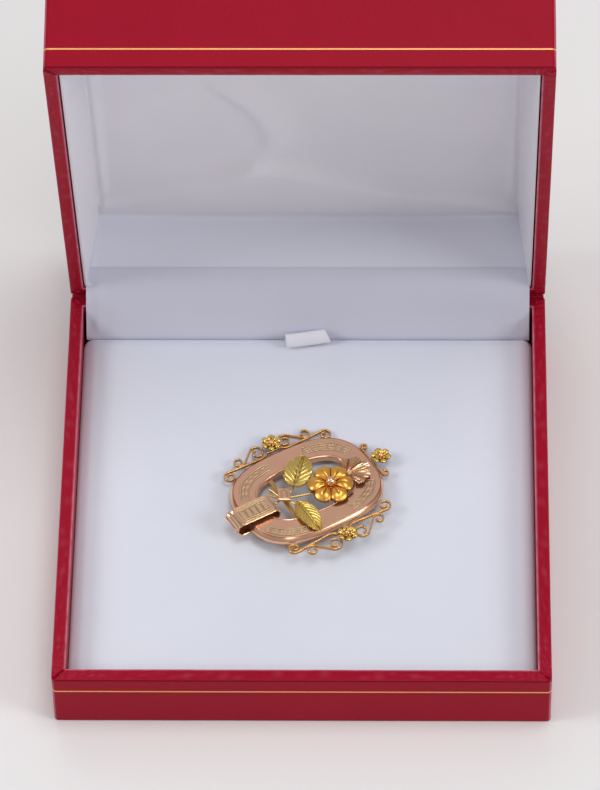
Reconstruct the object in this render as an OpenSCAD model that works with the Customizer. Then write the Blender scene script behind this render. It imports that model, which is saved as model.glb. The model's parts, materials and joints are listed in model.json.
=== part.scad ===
// Flower brooch in its hinged gift box, in millimetres.
// The origin is on the underside of the box, under its middle: +X right, +Y to the hinge, +Z up.
// The brooch has a frame of its own: p along the buckle, q across it, h up from its flat top.

/* [Box] */
// Width of the box, left to right
box_w = 120; // [116:1:130]
// Depth of the box, front to hinge
box_d = 120; // [116:1:130]
// Height of the tray, to its rim
base_h = 17; // [16:0.5:20]
// Height of the lid, from its rim to its top
lid_h = 26; // [22:0.5:32]
// Thickness of the covered walls
wall = 3.25; // [3:0.05:4]
// Thickness of the tray's floor and the lid's top panel
panel_t = 2.4; // [1.6:0.1:3]
// Radius of the outer edges at the underside and the top
edge_r = 1; // [0.5:0.1:1.4]
// How far the lid stands open, from closed
lid_open = 76; // [0:1:90]
// Gap between the two rims when the lid is shut
rim_gap = 0.2; // [0.1:0.05:0.4]

/* [Pad and lining] */
// How far the pad's top lies below the rim
pad_drop = 6; // [5:0.5:7]
// Gap between the pad and the walls beside it
pad_gap = 0.4; // [0.2:0.1:1]
// How far the pad stops short of the back wall
pad_back_gap = 6.4; // [5:0.2:8]
// Radius of the pad's top edges
pad_r = 1.5; // [0.5:0.1:2]
// Thickness of the satin lining on the lid's walls
lining_t = 1.2; // [0.8:0.1:2]
// Radius of the soft corner between the lining's walls and its top panel
lining_r = 2.5; // [1.5:0.5:6]
// How far the lining stops inside the lid's rim
lining_step = 0.8; // [0.4:0.1:2]
// Width of the ribbon tab
tab_w = 10.3; // [8:0.1:14]
// Thickness of the ribbon
tab_t = 0.6; // [0.4:0.1:1]

/* [Hinge] */
// Radius of the knuckles
knuckle_r = 1.2; // [1:0.1:1.3]
// Radius of the hinge pin
pin_r = 0.5; // [0.4:0.05:0.6]
// Length of one knuckle
knuckle_len = 12; // [8:1:16]
// Number of knuckles, the odd ones on the tray
knuckles = 5; // [3:2:7]
// Thickness of the leaves
leaf_t = 0.6; // [0.4:0.1:0.8]
// Length of the leaves, down the wall
leaf_len = 8; // [5:0.5:10]

/* [Brooch place] */
// Where the middle of the brooch lies, left to right
brooch_x = 0.5; // [-5:0.1:5]
// Where the middle of the brooch lies, front to back
brooch_y = 0.3; // [-5:0.1:5]
// Height of the buckle's top above the pad, at its middle
brooch_lift = 3.8; // [3.8:0.1:5]
// Turn of the buckle's long axis on the pad
brooch_turn = 31.8; // [0:0.2:60]
// Lean towards the back, because the pin's blocks lift the front
brooch_lean = 4.5; // [4:0.1:5]

/* [Buckle] */
// Half the length of the oval buckle
buckle_a = 18.55; // [17:0.05:20]
// Half the width of the oval buckle
buckle_b = 14.5; // [13.5:0.05:15]
// Half the length of its opening
hole_a = 12.3; // [11.5:0.05:13]
// Half the width of its opening
hole_b = 7.9; // [7.5:0.05:8.5]
// Squareness of both ovals, where 2 is an ellipse
oval_n = 2.85; // [2.4:0.05:3.2]
// Height of the buckle's outer wall
buckle_h = 1.9; // [1.6:0.1:2]
// Thickness of its stamped metal
metal_t = 0.4; // [0.3:0.05:0.5]
// Width of the round bevel along its outer edge
bevel = 0.5; // [0.3:0.05:0.8]

/* [Strap] */
// Width of the strap loop
strap_w = 6; // [5:0.1:6.6]
// Length of the strap loop
strap_len = 12.1; // [11.8:0.1:12.6]
// Where the strap's outer end lies
strap_end = -21.8; // [-22.5:0.1:-21.6]
// Where the middle of the strap lies across the buckle
strap_q = -0.85; // [-1.5:0.05:0]
// Height of the strap's top above the buckle's top
strap_rise = 1.4; // [1.2:0.1:1.8]
// Number of plain panels engraved on the strap
strap_panels = 5; // [3:1:7]

/* [Bouquet] */
// Radius of the stems
stem_r = 0.28; // [0.2:0.02:0.3]
// Radius of the two bars across the opening
bar_r = 0.32; // [0.25:0.01:0.35]
// Length and width of the tie that binds the stems
tie_size = [3.2, 4]; // [2:0.1:5]
// Radius of the large flower
flower_r = 5.8; // [5:0.1:6]
// How far the large flower leans to the front
flower_lean = 8; // [0:1:12]
// Number of petals
petals = 6; // [5:1:7]
// Radius of the ball in the flower's middle
ball_r = 1.05; // [0.7:0.05:1.1]
// Thickness of the petals and leaves
leaf_metal = 0.3; // [0.2:0.02:0.4]

/* [Scrolls] */
// Centres of the inner, middle and outer curls of the top scrolls, to the right of their flower
top_curls = [[4, 17.6], [9.3, 17.1], [13.65, 14.05]];
// Centres of the inner, middle and outer curls of the bottom scrolls, to the right of their flower
bottom_curls = [[4, 18.4], [9.5, 17.3], [13.1, 14.35]];
// Radii of the inner, middle and outer curls
curl_r = [1.8, 1.4, 1.45]; // [1.2:0.05:2]
// Width of the scrolls' flat wire
wire_w = 0.45; // [0.35:0.05:0.55]
// Height of the scrolls' flat wire
wire_h = 0.8; // [0.6:0.1:1]
// Radius of the small flowers on the scrolls
small_r = 2.6; // [2:0.1:2.6]
// Radius of the small flowers' balls
small_ball_r = 0.6; // [0.4:0.05:0.7]

/* [Pin] */
// Radius of the pin's wire
pin_wire_r = 0.45; // [0.35:0.05:0.5]
// Length of the pin between its two blocks
pin_len = 22; // [18:1:24]
// Where the pin lies across the buckle, behind its lower band
pin_q = -10.4; // [-10.6:0.1:-10.2]
// Length and width of the pin's two blocks
pin_block = [2.4, 3.4]; // [2:0.1:4]

/* [Hidden] */
$fn = 32;

// Clearance between pieces that sit in each other
fit = 0.05;
hinge_y = box_d / 2;
hinge_z = base_h + rim_gap / 2;
rim_z = base_h + rim_gap;
pad_top = base_h - pad_drop;
tray_w = box_w - 2 * wall;
tray_d = box_d - 2 * wall;
pad_back = tray_d / 2 - pad_back_gap;
hinge_len = knuckles * knuckle_len;
leaf_y = hinge_y - knuckle_r;
pin_fit = 0.06;
knuckle_gap = 0.2;
rebate_r = knuckle_r + 0.15;
// Reach of the solder where two wires meet
solder = 0.1;

// Places in the brooch's frame: the tie, the large flower, the three leaves' stems, the small flowers
TIE_AT = [-6.4, 0.2, 0.8];
FLOWER_AT = [4.9, -3.4, 1.45];
UPPER_LEAF_AT = [-2.2, 2, 0.75];
LOWER_LEAF_AT = [-4.6, -3, 0.5];
ROSE_LEAF_AT = [10.2, -1.9, 0.45];
TOP_FLOWER_AT = [0.4, 17.8, -0.75];
BOTTOM_FLOWER_AT = [0.85, -18, -0.75];
END_FLOWER_AT = [21.3, -0.2, -0.75];
// The stems' lines, each from its cut end beyond the tie, and the ball on the last one's end
STEMS = [
    [[-9.4, 2.8, -0.2], [-6.3, 0.1, -0.36], [0.1, -2.4, 0], [4.6, -3.7, 0.5]],
    [[-8.1, 4.4, -0.2], [-6.9, 0.4, -0.36], [-5, -3.5, 0.02]],
    [[-9.1, -0.4, -0.2], [-6.6, 0.2, -0.36], [-3.8, 1, 0.05], [-2.4, 2.1, 0.1]]
];
STEM_BALL = [-9.1, -0.4, -0.15, 0.48];
// Curls of the end's scroll: centre and radius
END_CURL = [19.75, 5, 0.85];

rose_gold = [0.76, 0.56, 0.48];
yellow_gold = [0.86, 0.62, 0.22];
green_gold = [0.78, 0.73, 0.36];
copper_gold = [0.78, 0.52, 0.28];
leather_red = [0.66, 0.10, 0.18];
satin_white = [0.84, 0.84, 0.87];

// Helpers: powers that keep their sign, an oval, a point between two others
function signed_pow(x, e) = sign(x) * pow(abs(x), e);
function oval(a, b, t) = [a * signed_pow(cos(t), 2 / oval_n), b * signed_pow(sin(t), 2 / oval_n)];
function mix(a, b, f) = a + (b - a) * f;

// A skin over rows of points. Each row is a closed section, and ring joins the last row to the first.
// Sections that are caps run there along one face and back along the other.
module loft(rows, ring = false) {
    n = len(rows);
    m = len(rows[0]);
    last = ring ? n - 1 : n - 2;
    sides = [
        for (i = [0:last], j = [0:m - 1])
            let (a = i * m + j, b = i * m + (j + 1) % m, c = ((i + 1) % n) * m)
                each [[a, b, c + j], [b, c + (j + 1) % m, c + j]]
    ];
    caps = ring ? [] : [
        for (j = [0:m / 2 - 2], e = [0, n - 1])
            let (o = e * m, a = o + j, b = a + 1, c = o + m - 1 - j, d = c - 1)
                each (e == 0 ? [[a, c, b], [b, c, d]] : [[a, b, c], [b, d, c]])
    ];
    polyhedron([for (r = rows) each r], concat(sides, caps), convexity = 8);
}

// A block whose long edges at the top or the underside are rounded
module edged_block(w, d, h, r, top) {
    intersection() {
        rotate([90, 0, 90]) translate([0, 0, -w / 2]) linear_extrude(w) edged_section(d, h, r, top);
        rotate([90, 0, 0]) translate([0, 0, -d / 2]) linear_extrude(d) edged_section(w, h, r, top);
    }
}
module edged_section(w, h, r, top) {
    low = top ? 0 : h;
    high = top ? h - r : r;
    hull() {
        for (s = [-1, 1]) translate([s * (w / 2 - r), high]) circle(r, $fn = 20);
        translate([-w / 2, min(low, high)]) square([w, abs(high - low)]);
    }
}

// Turns what is drawn shut to where the open lid is
module opened() {
    translate([0, hinge_y, hinge_z]) rotate([-lid_open, 0, 0]) translate([0, -hinge_y, -hinge_z])
        children();
}

// Puts what is drawn in the brooch's frame on the pad
module on_pad() {
    translate([brooch_x, brooch_y, pad_top + brooch_lift])
        rotate([-brooch_lean, 0, 0]) rotate([0, 0, brooch_turn]) children();
}

// Room in the walls for the hinge
module hinge_room() {
    translate([0, hinge_y, hinge_z]) rotate([0, 90, 0])
        cylinder(r = rebate_r, h = hinge_len + 0.6, center = true);
}
module leaf_slot(up) {
    translate([-hinge_len / 2 - fit, leaf_y - fit, hinge_z + (up ? 0 : -rebate_r - leaf_len - fit)])
        cube([hinge_len + 2 * fit, leaf_t + 2 * fit, rebate_r + leaf_len + fit]);
}

module box_base() {
    color(leather_red) difference() {
        edged_block(box_w, box_d, base_h, edge_r, false);
        translate([-tray_w / 2, -tray_d / 2, panel_t]) cube([tray_w, tray_d, base_h]);
        hinge_room();
        leaf_slot(false);
    }
}

module pad() {
    w = tray_w - 2 * pad_gap;
    d = pad_back + tray_d / 2 - pad_gap;
    color(satin_white) translate([0, pad_back - d / 2, panel_t + fit])
        edged_block(w, d, pad_top - panel_t - fit, pad_r, true);
}

// The lining that hides the hinge: a soft wedge behind the pad, below the rim
module hinge_apron() {
    front = pad_back + 0.3;
    back = tray_d / 2 - 0.3;
    color(satin_white) rotate([90, 0, 90]) translate([0, 0, -tray_w / 2 + pad_gap])
        linear_extrude(tray_w - 2 * pad_gap) polygon([
            [front, panel_t + 0.1], [back, panel_t + 0.1], [back, base_h - 0.4],
            [back - 0.9, base_h - 0.7], [front + 1.2, pad_top + 1.6], [front, pad_top + 0.2]
        ]);
}

// A folded ribbon that lifts the pad out, lying over the pad's back edge
module ribbon_tab() {
    color(satin_white) translate([-0.3, pad_back - 3.3, pad_top + 0.3]) rotate([0, 0, -11])
        rotate([90, 0, 90]) translate([0, 0, -tab_w / 2]) linear_extrude(tab_w) difference() {
            tab_outline(0);
            tab_outline(tab_t);
        }
}
module tab_outline(inset) {
    hull() {
        translate([0.7, 0.8]) circle(0.8 - inset / 2, $fn = 24);
        translate([2.2, 1.6]) circle(1.4 - inset, $fn = 24);
    }
}

// One half of the hinge, drawn for the tray: a leaf in its slot, with the knuckles that carry it
module hinge_half(first) {
    translate([-hinge_len / 2, leaf_y, hinge_z - rebate_r - leaf_len])
        cube([hinge_len, leaf_t, leaf_len]);
    for (i = [first:2:knuckles - 1]) {
        x = -hinge_len / 2 + i * knuckle_len + knuckle_gap / 2;
        long = knuckle_len - knuckle_gap;
        translate([x, leaf_y, hinge_z - rebate_r - 1]) cube([long, leaf_t, rebate_r + 1]);
        translate([x, hinge_y, hinge_z]) rotate([0, 90, 0]) cylinder(r = knuckle_r, h = long);
    }
}
module hinge_base() {
    color("goldenrod") union() {
        hinge_half(0);
        translate([0, hinge_y, hinge_z]) rotate([0, 90, 0])
            cylinder(r = pin_r, h = hinge_len - knuckle_gap, center = true);
    }
}
module hinge_lid() {
    color("goldenrod") opened() difference() {
        translate([0, 0, 2 * hinge_z]) mirror([0, 0, 1]) hinge_half(1);
        translate([0, hinge_y, hinge_z]) rotate([0, 90, 0])
            cylinder(r = pin_r + pin_fit, h = hinge_len + 2, center = true);
    }
}

module lid_shell() {
    color(leather_red) opened() difference() {
        translate([0, 0, rim_z]) edged_block(box_w, box_d, lid_h, edge_r, true);
        translate([-tray_w / 2, -tray_d / 2, rim_z - 1]) cube([tray_w, tray_d, lid_h + 1 - panel_t]);
        hinge_room();
        leaf_slot(true);
    }
}

// Padded satin in the lid, with soft corners round its top panel
module lid_lining() {
    deep = lid_h - panel_t - fit - lining_step;
    w = tray_w - 2 * fit;
    d = tray_d - 2 * fit;
    color(satin_white) opened() translate([0, 0, rim_z + lining_step]) difference() {
        translate([-w / 2, -d / 2, 0]) cube([w, d, deep]);
        translate([0, 0, -1])
            edged_block(w - 2 * lining_t, d - 2 * lining_t, deep - lining_t + 1, lining_r, true);
    }
}

// The buckle's band: a stamped channel, open underneath. Each row is one section across the band.
// A section's points are [how far across the band from 0 to 1, height].
module buckle_frame() {
    f = metal_t / (buckle_b - hole_b);
    e = bevel / (buckle_b - hole_b);
    section = [
        [0, -buckle_h], [0, -bevel], [0.3 * e, -0.3 * bevel], [e, 0],
        [1 - 0.4 * e, 0], [1, -0.4 * bevel], [1, 0.3 - buckle_h], [1 - f, 0.3 - buckle_h],
        [1 - f, -metal_t - 0.1], [e + f, -metal_t - 0.1], [f, -metal_t - bevel], [f, -buckle_h]
    ];
    sides = 96;
    color(rose_gold) on_pad() loft([
        for (i = [0:sides - 1])
            let (t = 360 * i / sides) [
                for (s = section)
                    let (p = oval(mix(buckle_a, hole_a, s[0]), mix(buckle_b, hole_b, s[0]), t))
                        [p[0], p[1], s[1]]
            ]
    ], ring = true);
}

// The strap's loop, with a raised border and panels, and fluting over its outer end
module strap_loop() {
    low = -buckle_h - 0.1 - metal_t;
    r = (strap_rise - low) / 2;
    mid = (strap_rise + low) / 2;
    rail = 0.5;
    first = strap_end + r + 0.7;
    last = strap_end + strap_len - r - 0.2;
    color(rose_gold) on_pad() translate([0, strap_q, 0]) {
        rotate([90, 0, 0]) translate([0, 0, -strap_w / 2]) linear_extrude(strap_w) difference() {
            strap_outline(r, mid, r);
            strap_outline(r, mid, r - metal_t);
        }
        for (s = [-1, 1], k = [0.82, 0.42])
            translate([first, s * k * strap_w / 2 - rail / 4, strap_rise - 0.1])
                cube([last - first, rail / 2, 0.22]);
        for (i = [0:strap_panels])
            translate([mix(first, last - rail / 2, i / strap_panels), -0.42 * strap_w / 2, strap_rise - 0.1])
                cube([rail / 2, 0.84 * strap_w / 2, 0.2]);
        // The flutes: where each lies round the loop's end, and its radius
        for (flute = [[172, 0.28], [140, 0.5], [104, 0.28]])
            let (out = (r - 0.05) * [cos(flute[0]), sin(flute[0])])
                translate([strap_end + r + out[0], strap_w / 2, mid + out[1]])
                    rotate([90, 0, 0]) cylinder(r = flute[1], h = strap_w);
    }
}
module strap_outline(r, mid, size) {
    hull() for (p = [strap_end + r, strap_end + strap_len - r])
        translate([p, mid]) circle(size);
}

// Round rods through a list of points in the brooch's frame
module rods(points, r) {
    for (i = [0:len(points) - 2])
        let (a = points[i], d = points[i + 1] - a, len = norm(d))
            translate(a) rotate([0, acos(d[2] / len), atan2(d[1], d[0])]) cylinder(r = r, h = len);
    for (i = [1:1:len(points) - 2]) translate(points[i]) sphere(r * 1.06);
}

// Two bars across the opening carry the bouquet
module cross_bars() {
    reach = hole_b * 0.9;
    color(yellow_gold) on_pad() for (s = [-1, 1])
        rods([[-6.8 + s * 0.3, -reach, -1], [-6.15 + s * 0.3, reach, -1]], bar_r, $fn = 48);
}

// The three stems, and their cut ends beyond the tie
module stems() {
    color(yellow_gold) on_pad() {
        for (line = STEMS) rods(line, stem_r);
        translate([STEM_BALL[0], STEM_BALL[1], STEM_BALL[2]]) sphere(STEM_BALL[3]);
    }
}

// The tie that binds the stems, leaning down to the flower
module tie() {
    color(rose_gold) on_pad() translate(TIE_AT) rotate([0, 0, -27]) rotate([0, 8, 0])
        rotate([90, 0, 0]) translate([0, 0, -tie_size[1] / 2]) linear_extrude(tie_size[1])
            hull() for (s = [-1, 1], t = [-1, 1])
                translate([s * (tie_size[0] / 2 - 0.15), t * 0.25]) circle(0.15, $fn = 16);
}

// A flower of thin metal: puffed petals with a groove down each, round a small hole
module blossom(r, n, puff, cup, turn, fine) {
    steps = fine ? 7 : 5;
    sides = n * (fine ? 14 : 8);
    hole = 0.1 * r;
    loft([
        for (i = [0:sides - 1])
            let (
                a = -360 * i / sides,
                lobe = abs(cos(n * a / 2)),
                edge = r * (0.74 + 0.26 * pow(lobe, 0.55)),
                groove = 1 - 0.22 * pow(lobe, 40),
                high = puff * (0.25 + 0.75 * pow(lobe, 0.5)) * groove,
                top = [
                    for (k = [0:steps])
                        let (f = k / steps, d = mix(hole, edge, f))
                            [
                                d * cos(a + turn), d * sin(a + turn),
                                high * pow(sin(180 * pow(f, 1.2)), 0.8) + cup * f * f
                            ]
                ]
            )
            concat(top, [for (k = [steps:-1:0]) top[k] - [0, 0, leaf_metal]])
    ], ring = true);
}
module on_stem() {
    on_pad() translate(FLOWER_AT)
        rotate(a = flower_lean, v = [cos(brooch_turn), -sin(brooch_turn), 0]) children();
}
module flower() {
    color(yellow_gold) on_stem() blossom(flower_r, petals, 1.6, 0, 40, true);
}
module flower_ball() {
    color(rose_gold) on_stem() translate([0, 0, ball_r - 0.1]) sphere(ball_r);
}

// A leaf of thin metal from its stem to its tip, along +p: wide is half its width, early moves
// the widest part to the stem, fold is how deep the midrib lies, and arch lifts the middle
module leaf(long, wide, early, fold, arch, turn) {
    steps = 16;
    across = [-1, -0.72, -0.4, -0.12, 0, 0.12, 0.4, 0.72, 1];
    rotate([0, 0, turn]) loft([
        for (i = [0:steps])
            let (
                f = i / steps,
                half = 0.12 + wide * pow(sin(180 * pow(f, early)), 0.62),
                top = [
                    for (v = across)
                        [
                            long * f + 0.1 * long * abs(v) * (1 - f), half * v,
                            arch * sin(180 * f) + fold * pow(abs(v), 0.7) - 0.9 * fold * v * v * v * v
                        ]
                ]
            )
            concat(top, [for (k = [len(top) - 1:-1:0]) top[k] - [0, 0, leaf_metal]])
    ]);
}
module upper_leaf() {
    color(green_gold) on_pad() translate(UPPER_LEAF_AT) leaf(9.4, 3.4, 0.72, 0.5, 0.5, 45);
}
module lower_leaf() {
    color(green_gold) on_pad() translate(LOWER_LEAF_AT) leaf(11.4, 2.4, 0.85, 0.4, 0.4, -91);
}

// A fan leaf: lobes spread round its stem, with a rib down the middle of each
module rose_leaf() {
    lobes = 5;
    sides = 60;
    steps = 5;
    spread = 84;
    color(rose_gold) on_pad() translate(ROSE_LEAF_AT) loft([
        for (i = [0:sides])
            let (
                a = mix(spread, -spread, i / sides),
                lobe = abs(cos(90 * lobes * a / spread)),
                edge = (6.4 - 1.9 * pow(abs(a) / spread, 1.6)) * (0.86 + 0.14 * pow(lobe, 0.5)),
                top = [
                    for (k = [0:steps])
                        let (f = k / steps, d = mix(0.5, edge, f))
                            [d * cos(a), d * sin(a), 0.25 + 0.55 * lobe * sin(150 * f) + 0.15 * f]
                ]
            )
            concat(top, [for (k = [steps:-1:0]) top[k] - [0, 0, leaf_metal]])
    ]);
}

// Scrolls of flat wire. A curl is [centre, radius, way], where way is 1 to the left and -1 to the right.
// The wire winds out of the first curl, runs straight, and winds into the second.
function curl_turn(c, a, wind) = [
    for (k = [1:12])
        let (g = k / 12, r = c[1] * (1 - 0.62 * max(0, (g - 0.25) / 0.75)))
            c[0] + r * [cos(a + c[2] * wind * g), sin(a + c[2] * wind * g)]
];
function scroll_path(c1, c2, wind1, wind2) =
    let (
        d = c2[0] - c1[0],
        way = atan2(d[1], d[0]) - asin((c2[2] * c2[1] - c1[2] * c1[1]) / norm(d)),
        left = [-sin(way), cos(way)],
        p1 = c1[0] - c1[2] * c1[1] * left,
        p2 = c2[0] - c2[2] * c2[1] * left,
        a1 = atan2(p1[1] - c1[0][1], p1[0] - c1[0][0]),
        a2 = atan2(p2[1] - c2[0][1], p2[0] - c2[0][0]),
        start = curl_turn([c1[0], c1[1], -c1[2]], a1, wind1)
    )
    concat([for (k = [len(start) - 1:-1:0]) start[k]], [p1, p2], curl_turn(c2, a2, wind2));

// A flat wire along a path on the pad side of the buckle
module wire(path) {
    n = len(path);
    aside = [
        for (i = [0:n - 1])
            let (d = path[min(i + 1, n - 1)] - path[max(i - 1, 0)])
                [-d[1], d[0]] / norm(d) * wire_w / 2
    ];
    polygon(concat([for (i = [0:n - 1]) path[i] + aside[i]], [for (i = [n - 1:-1:0]) path[i] - aside[i]]));
}

// One side of a long scroll group, to the right of its flower
module scroll_side(curls) {
    bar = [curls[0] + [0.1, 0.4], curls[0][1] + 0.4 - buckle_b - 0.6, 1];
    wire(scroll_path([curls[0], curl_r[0], -1], [curls[1], curl_r[1], 1], 400, 330));
    wire(concat(
        [for (a = [215:15:260]) bar[0] + bar[1] * [cos(a), sin(a)]],
        scroll_path(bar, [curls[2], curl_r[2], -1], 1, 400)
    ));
}
module scroll_level() {
    color(copper_gold) on_pad() translate([0, 0, -buckle_h]) linear_extrude(wire_h)
        offset(r = -solder, $fn = 12) offset(r = solder, $fn = 12) children();
}
module long_scrolls(curls) {
    for (s = [0, 1]) mirror([s, 0]) scroll_side(curls);
    translate([-2.2, 15.95]) square([4.4, wire_w]);
}
module top_scrolls() {
    scroll_level() long_scrolls(top_curls);
}
module bottom_scrolls() {
    scroll_level() translate([0.4, 0]) rotate(1.5) mirror([0, 1]) long_scrolls(bottom_curls);
}
module end_scrolls() {
    r = END_CURL[2];
    scroll_level() translate([0, 0.3])
        wire(scroll_path([[END_CURL[0], END_CURL[1]], r, 1], [[END_CURL[0], -END_CURL[1]], r, 1], 330, 330));
}

// Small flowers on the scrolls, each with its ball
module small_flower(at, turn) {
    color(green_gold) on_pad() translate(at) blossom(small_r, 6, 0.35, 0.5, turn, false);
}
module small_ball(at) {
    color(rose_gold) on_pad() translate(at + [0, 0, small_ball_r]) sphere(small_ball_r);
}

// Height of the pad's top in the brooch's frame, at a point of it
function pad_h(p, q) =
    ((p * sin(brooch_turn) + q * cos(brooch_turn)) * sin(brooch_lean) - brooch_lift) / cos(brooch_lean);

// The pin behind the buckle's lower band, with its two blocks, which reach down to the pad
module pin_back() {
    corner = (pin_block[0] * sin(brooch_turn) + pin_block[1] * cos(brooch_turn)) / 2 * sin(brooch_lean);
    ends = [for (s = [-1, 1]) [s * pin_len / 2, pin_q, pad_h(s * pin_len / 2, pin_q) + corner + 2 * fit]];
    color(copper_gold) on_pad() {
        for (e = ends)
            translate([e[0] - pin_block[0] / 2, e[1] - pin_block[1] / 2, e[2]])
                cube([pin_block[0], pin_block[1], -buckle_h - fit - e[2]]);
        rods([for (e = ends) e + [0, 0, 0.8]], pin_wire_r);
    }
}

box_base();
pad();
hinge_apron();
ribbon_tab();
hinge_base();
lid_shell();
lid_lining();
hinge_lid();
buckle_frame();
strap_loop();
cross_bars();
stems();
tie();
flower();
flower_ball();
upper_leaf();
lower_leaf();
rose_leaf();
top_scrolls();
bottom_scrolls();
end_scrolls();
small_flower(TOP_FLOWER_AT, 0);  // top_flower
small_flower(BOTTOM_FLOWER_AT, 10);  // bottom_flower
small_flower(END_FLOWER_AT, 20);  // end_flower
small_ball(TOP_FLOWER_AT);  // top_ball
small_ball(BOTTOM_FLOWER_AT);  // bottom_ball
small_ball(END_FLOWER_AT);  // end_ball
pin_back();
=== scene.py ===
"""Flower brooch in its hinged gift box: the finished surfaces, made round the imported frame."""

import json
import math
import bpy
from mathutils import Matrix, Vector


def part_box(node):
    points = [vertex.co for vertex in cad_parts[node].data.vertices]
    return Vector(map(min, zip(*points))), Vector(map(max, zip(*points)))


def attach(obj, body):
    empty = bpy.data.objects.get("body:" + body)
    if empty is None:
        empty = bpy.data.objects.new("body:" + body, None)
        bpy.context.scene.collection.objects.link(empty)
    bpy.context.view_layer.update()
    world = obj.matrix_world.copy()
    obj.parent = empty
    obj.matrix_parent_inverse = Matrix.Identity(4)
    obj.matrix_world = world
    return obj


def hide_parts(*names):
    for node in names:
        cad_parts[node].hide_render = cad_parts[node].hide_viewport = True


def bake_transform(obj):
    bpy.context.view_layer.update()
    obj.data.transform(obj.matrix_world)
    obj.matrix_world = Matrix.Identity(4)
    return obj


bl_info = {
    "name": "Flower brooch in gift box",
    "version": (1, 0, 0),
    "blender": (4, 5, 0),
    "location": "3D View > Sidebar > Brooch",
    "description": "Makes a gold flower brooch on the pad of its open gift box",
    "category": "Add Mesh",
}

import bmesh
import bpy
from bpy.props import FloatProperty, FloatVectorProperty, IntProperty, PointerProperty
from mathutils import Matrix, Vector, noise

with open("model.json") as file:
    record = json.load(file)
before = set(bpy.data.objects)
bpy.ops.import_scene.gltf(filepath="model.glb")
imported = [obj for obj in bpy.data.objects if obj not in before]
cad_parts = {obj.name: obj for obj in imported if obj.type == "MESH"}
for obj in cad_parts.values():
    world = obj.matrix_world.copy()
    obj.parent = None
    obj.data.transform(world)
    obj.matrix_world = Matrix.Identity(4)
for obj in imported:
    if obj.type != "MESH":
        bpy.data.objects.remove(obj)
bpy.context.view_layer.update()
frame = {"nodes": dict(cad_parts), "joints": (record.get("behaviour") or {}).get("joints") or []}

# Lengths inside a piece are in millimetres, and MM brings them to the frame's metres
MM = 0.001

# The box, as the frame has it
TRAY_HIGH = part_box("box_base")[1] / MM
PAD_LOW, PAD_HIGH = (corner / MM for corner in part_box("pad"))
HINGE = Vector(frame["joints"][0]["pos_m"]) / MM
WALL = 3.25
PANEL = 2.4
RIM_GAP = 0.2
LID_HIGH = 26
KNUCKLE_ROOM = 1.35
KNUCKLES_LONG = 60.6
ROLL_R = 0.42
# How far the roll of covering lies behind the hinge's axis, and below it
ROLL_BACK = 0.12
ROLL_DOWN = 0.26

# Where the brooch lies on the pad, from the middle of the box
BROOCH_AT = (0.5, 0.3)
# Points that lie nearer than this are merged
MERGE = 0.002
# A face with more corners than this is a flat end
FLAT_CORNERS = 64

# The camera that took the view: where it stands, which way it looks, its roll and its lens
CAMERA_AT = (26.09, -832.31, 1079.1)
CAMERA_WAY = (-0.0202, 0.6292, -0.77698)
CAMERA_ROLL = -1.346
CAMERA_LENS = 249.66


def length_property(name, description, millimetres):
    """A length, which the panel shows in the scene's unit."""
    return FloatProperty(name=name, description=description, default=millimetres * MM, unit="LENGTH")


def angle_property(name, description, degrees):
    """An angle, which the panel shows in degrees."""
    return FloatProperty(name=name, description=description, default=math.radians(degrees), subtype="ANGLE")


def colour_property(name, description, colour):
    """A colour, which the panel shows as a swatch."""
    return FloatVectorProperty(
        name=name, description=description, default=colour, subtype="COLOR", min=0, max=1
    )


class BoxSizes(bpy.types.PropertyGroup):
    """Sizes of the gift box's covering and its soft goods."""

    lid_open: angle_property("Lid open", "How far the lid stands open", 76)
    corner: length_property("Corner", "Radius of the upright corners", 0.9)
    edge: length_property("Edge", "Radius of the edges at the underside and the top", 0.4)
    rim: length_property("Rim", "Radius of the rims' inner edges", 0.4)
    fold: length_property("Corner folds", "Height of the covering's folds at the rims' corners", 0.6)
    line_width: length_property("Line width", "Width of the gold foil line", 0.42)
    tray_line: length_property("Tray line", "How far the line runs below the tray's rim", 4.9)
    lid_line: length_property("Lid line", "How far the line runs from the lid's rim", 5.5)
    pad_edge: length_property("Pad edge", "Radius of the pad's soft upper edges", 1.4)
    pad_swell: length_property("Pad swell", "The most that the pad's cover may swell", 0.35)
    lint: IntProperty(name="Lint", description="Number of loose fibres on the velvet", default=70, min=0)


class BroochSizes(bpy.types.PropertyGroup):
    """Sizes of the brooch, which lies on the pad in a frame of its own."""

    turn: angle_property("Turn", "Turn of the buckle on the pad", 31.8)
    lean: angle_property("Lean", "Lean of the brooch to the back", 4.5)
    lift: length_property("Lift", "Height of the buckle's top above the pad", 3.8)
    metal: length_property("Metal", "Thickness of the stamped gold", 0.4)
    bevel: length_property("Bevel", "Width of the buckle's sloping outer edge", 0.62)
    petals: IntProperty(name="Petals", description="Number of petals of the large flower", default=6, min=4)
    flower: length_property("Flower", "Radius of the large flower", 5.8)
    small_flower: length_property("Small flower", "Radius of the flowers on the scrolls", 2.6)
    leaf_metal: length_property("Leaf metal", "Thickness of the leaves", 0.3)
    wire_width: length_property("Wire width", "Width of the scrolls' flat wire", 0.45)
    wire_height: length_property("Wire height", "Height of the scrolls' flat wire", 0.8)


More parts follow.
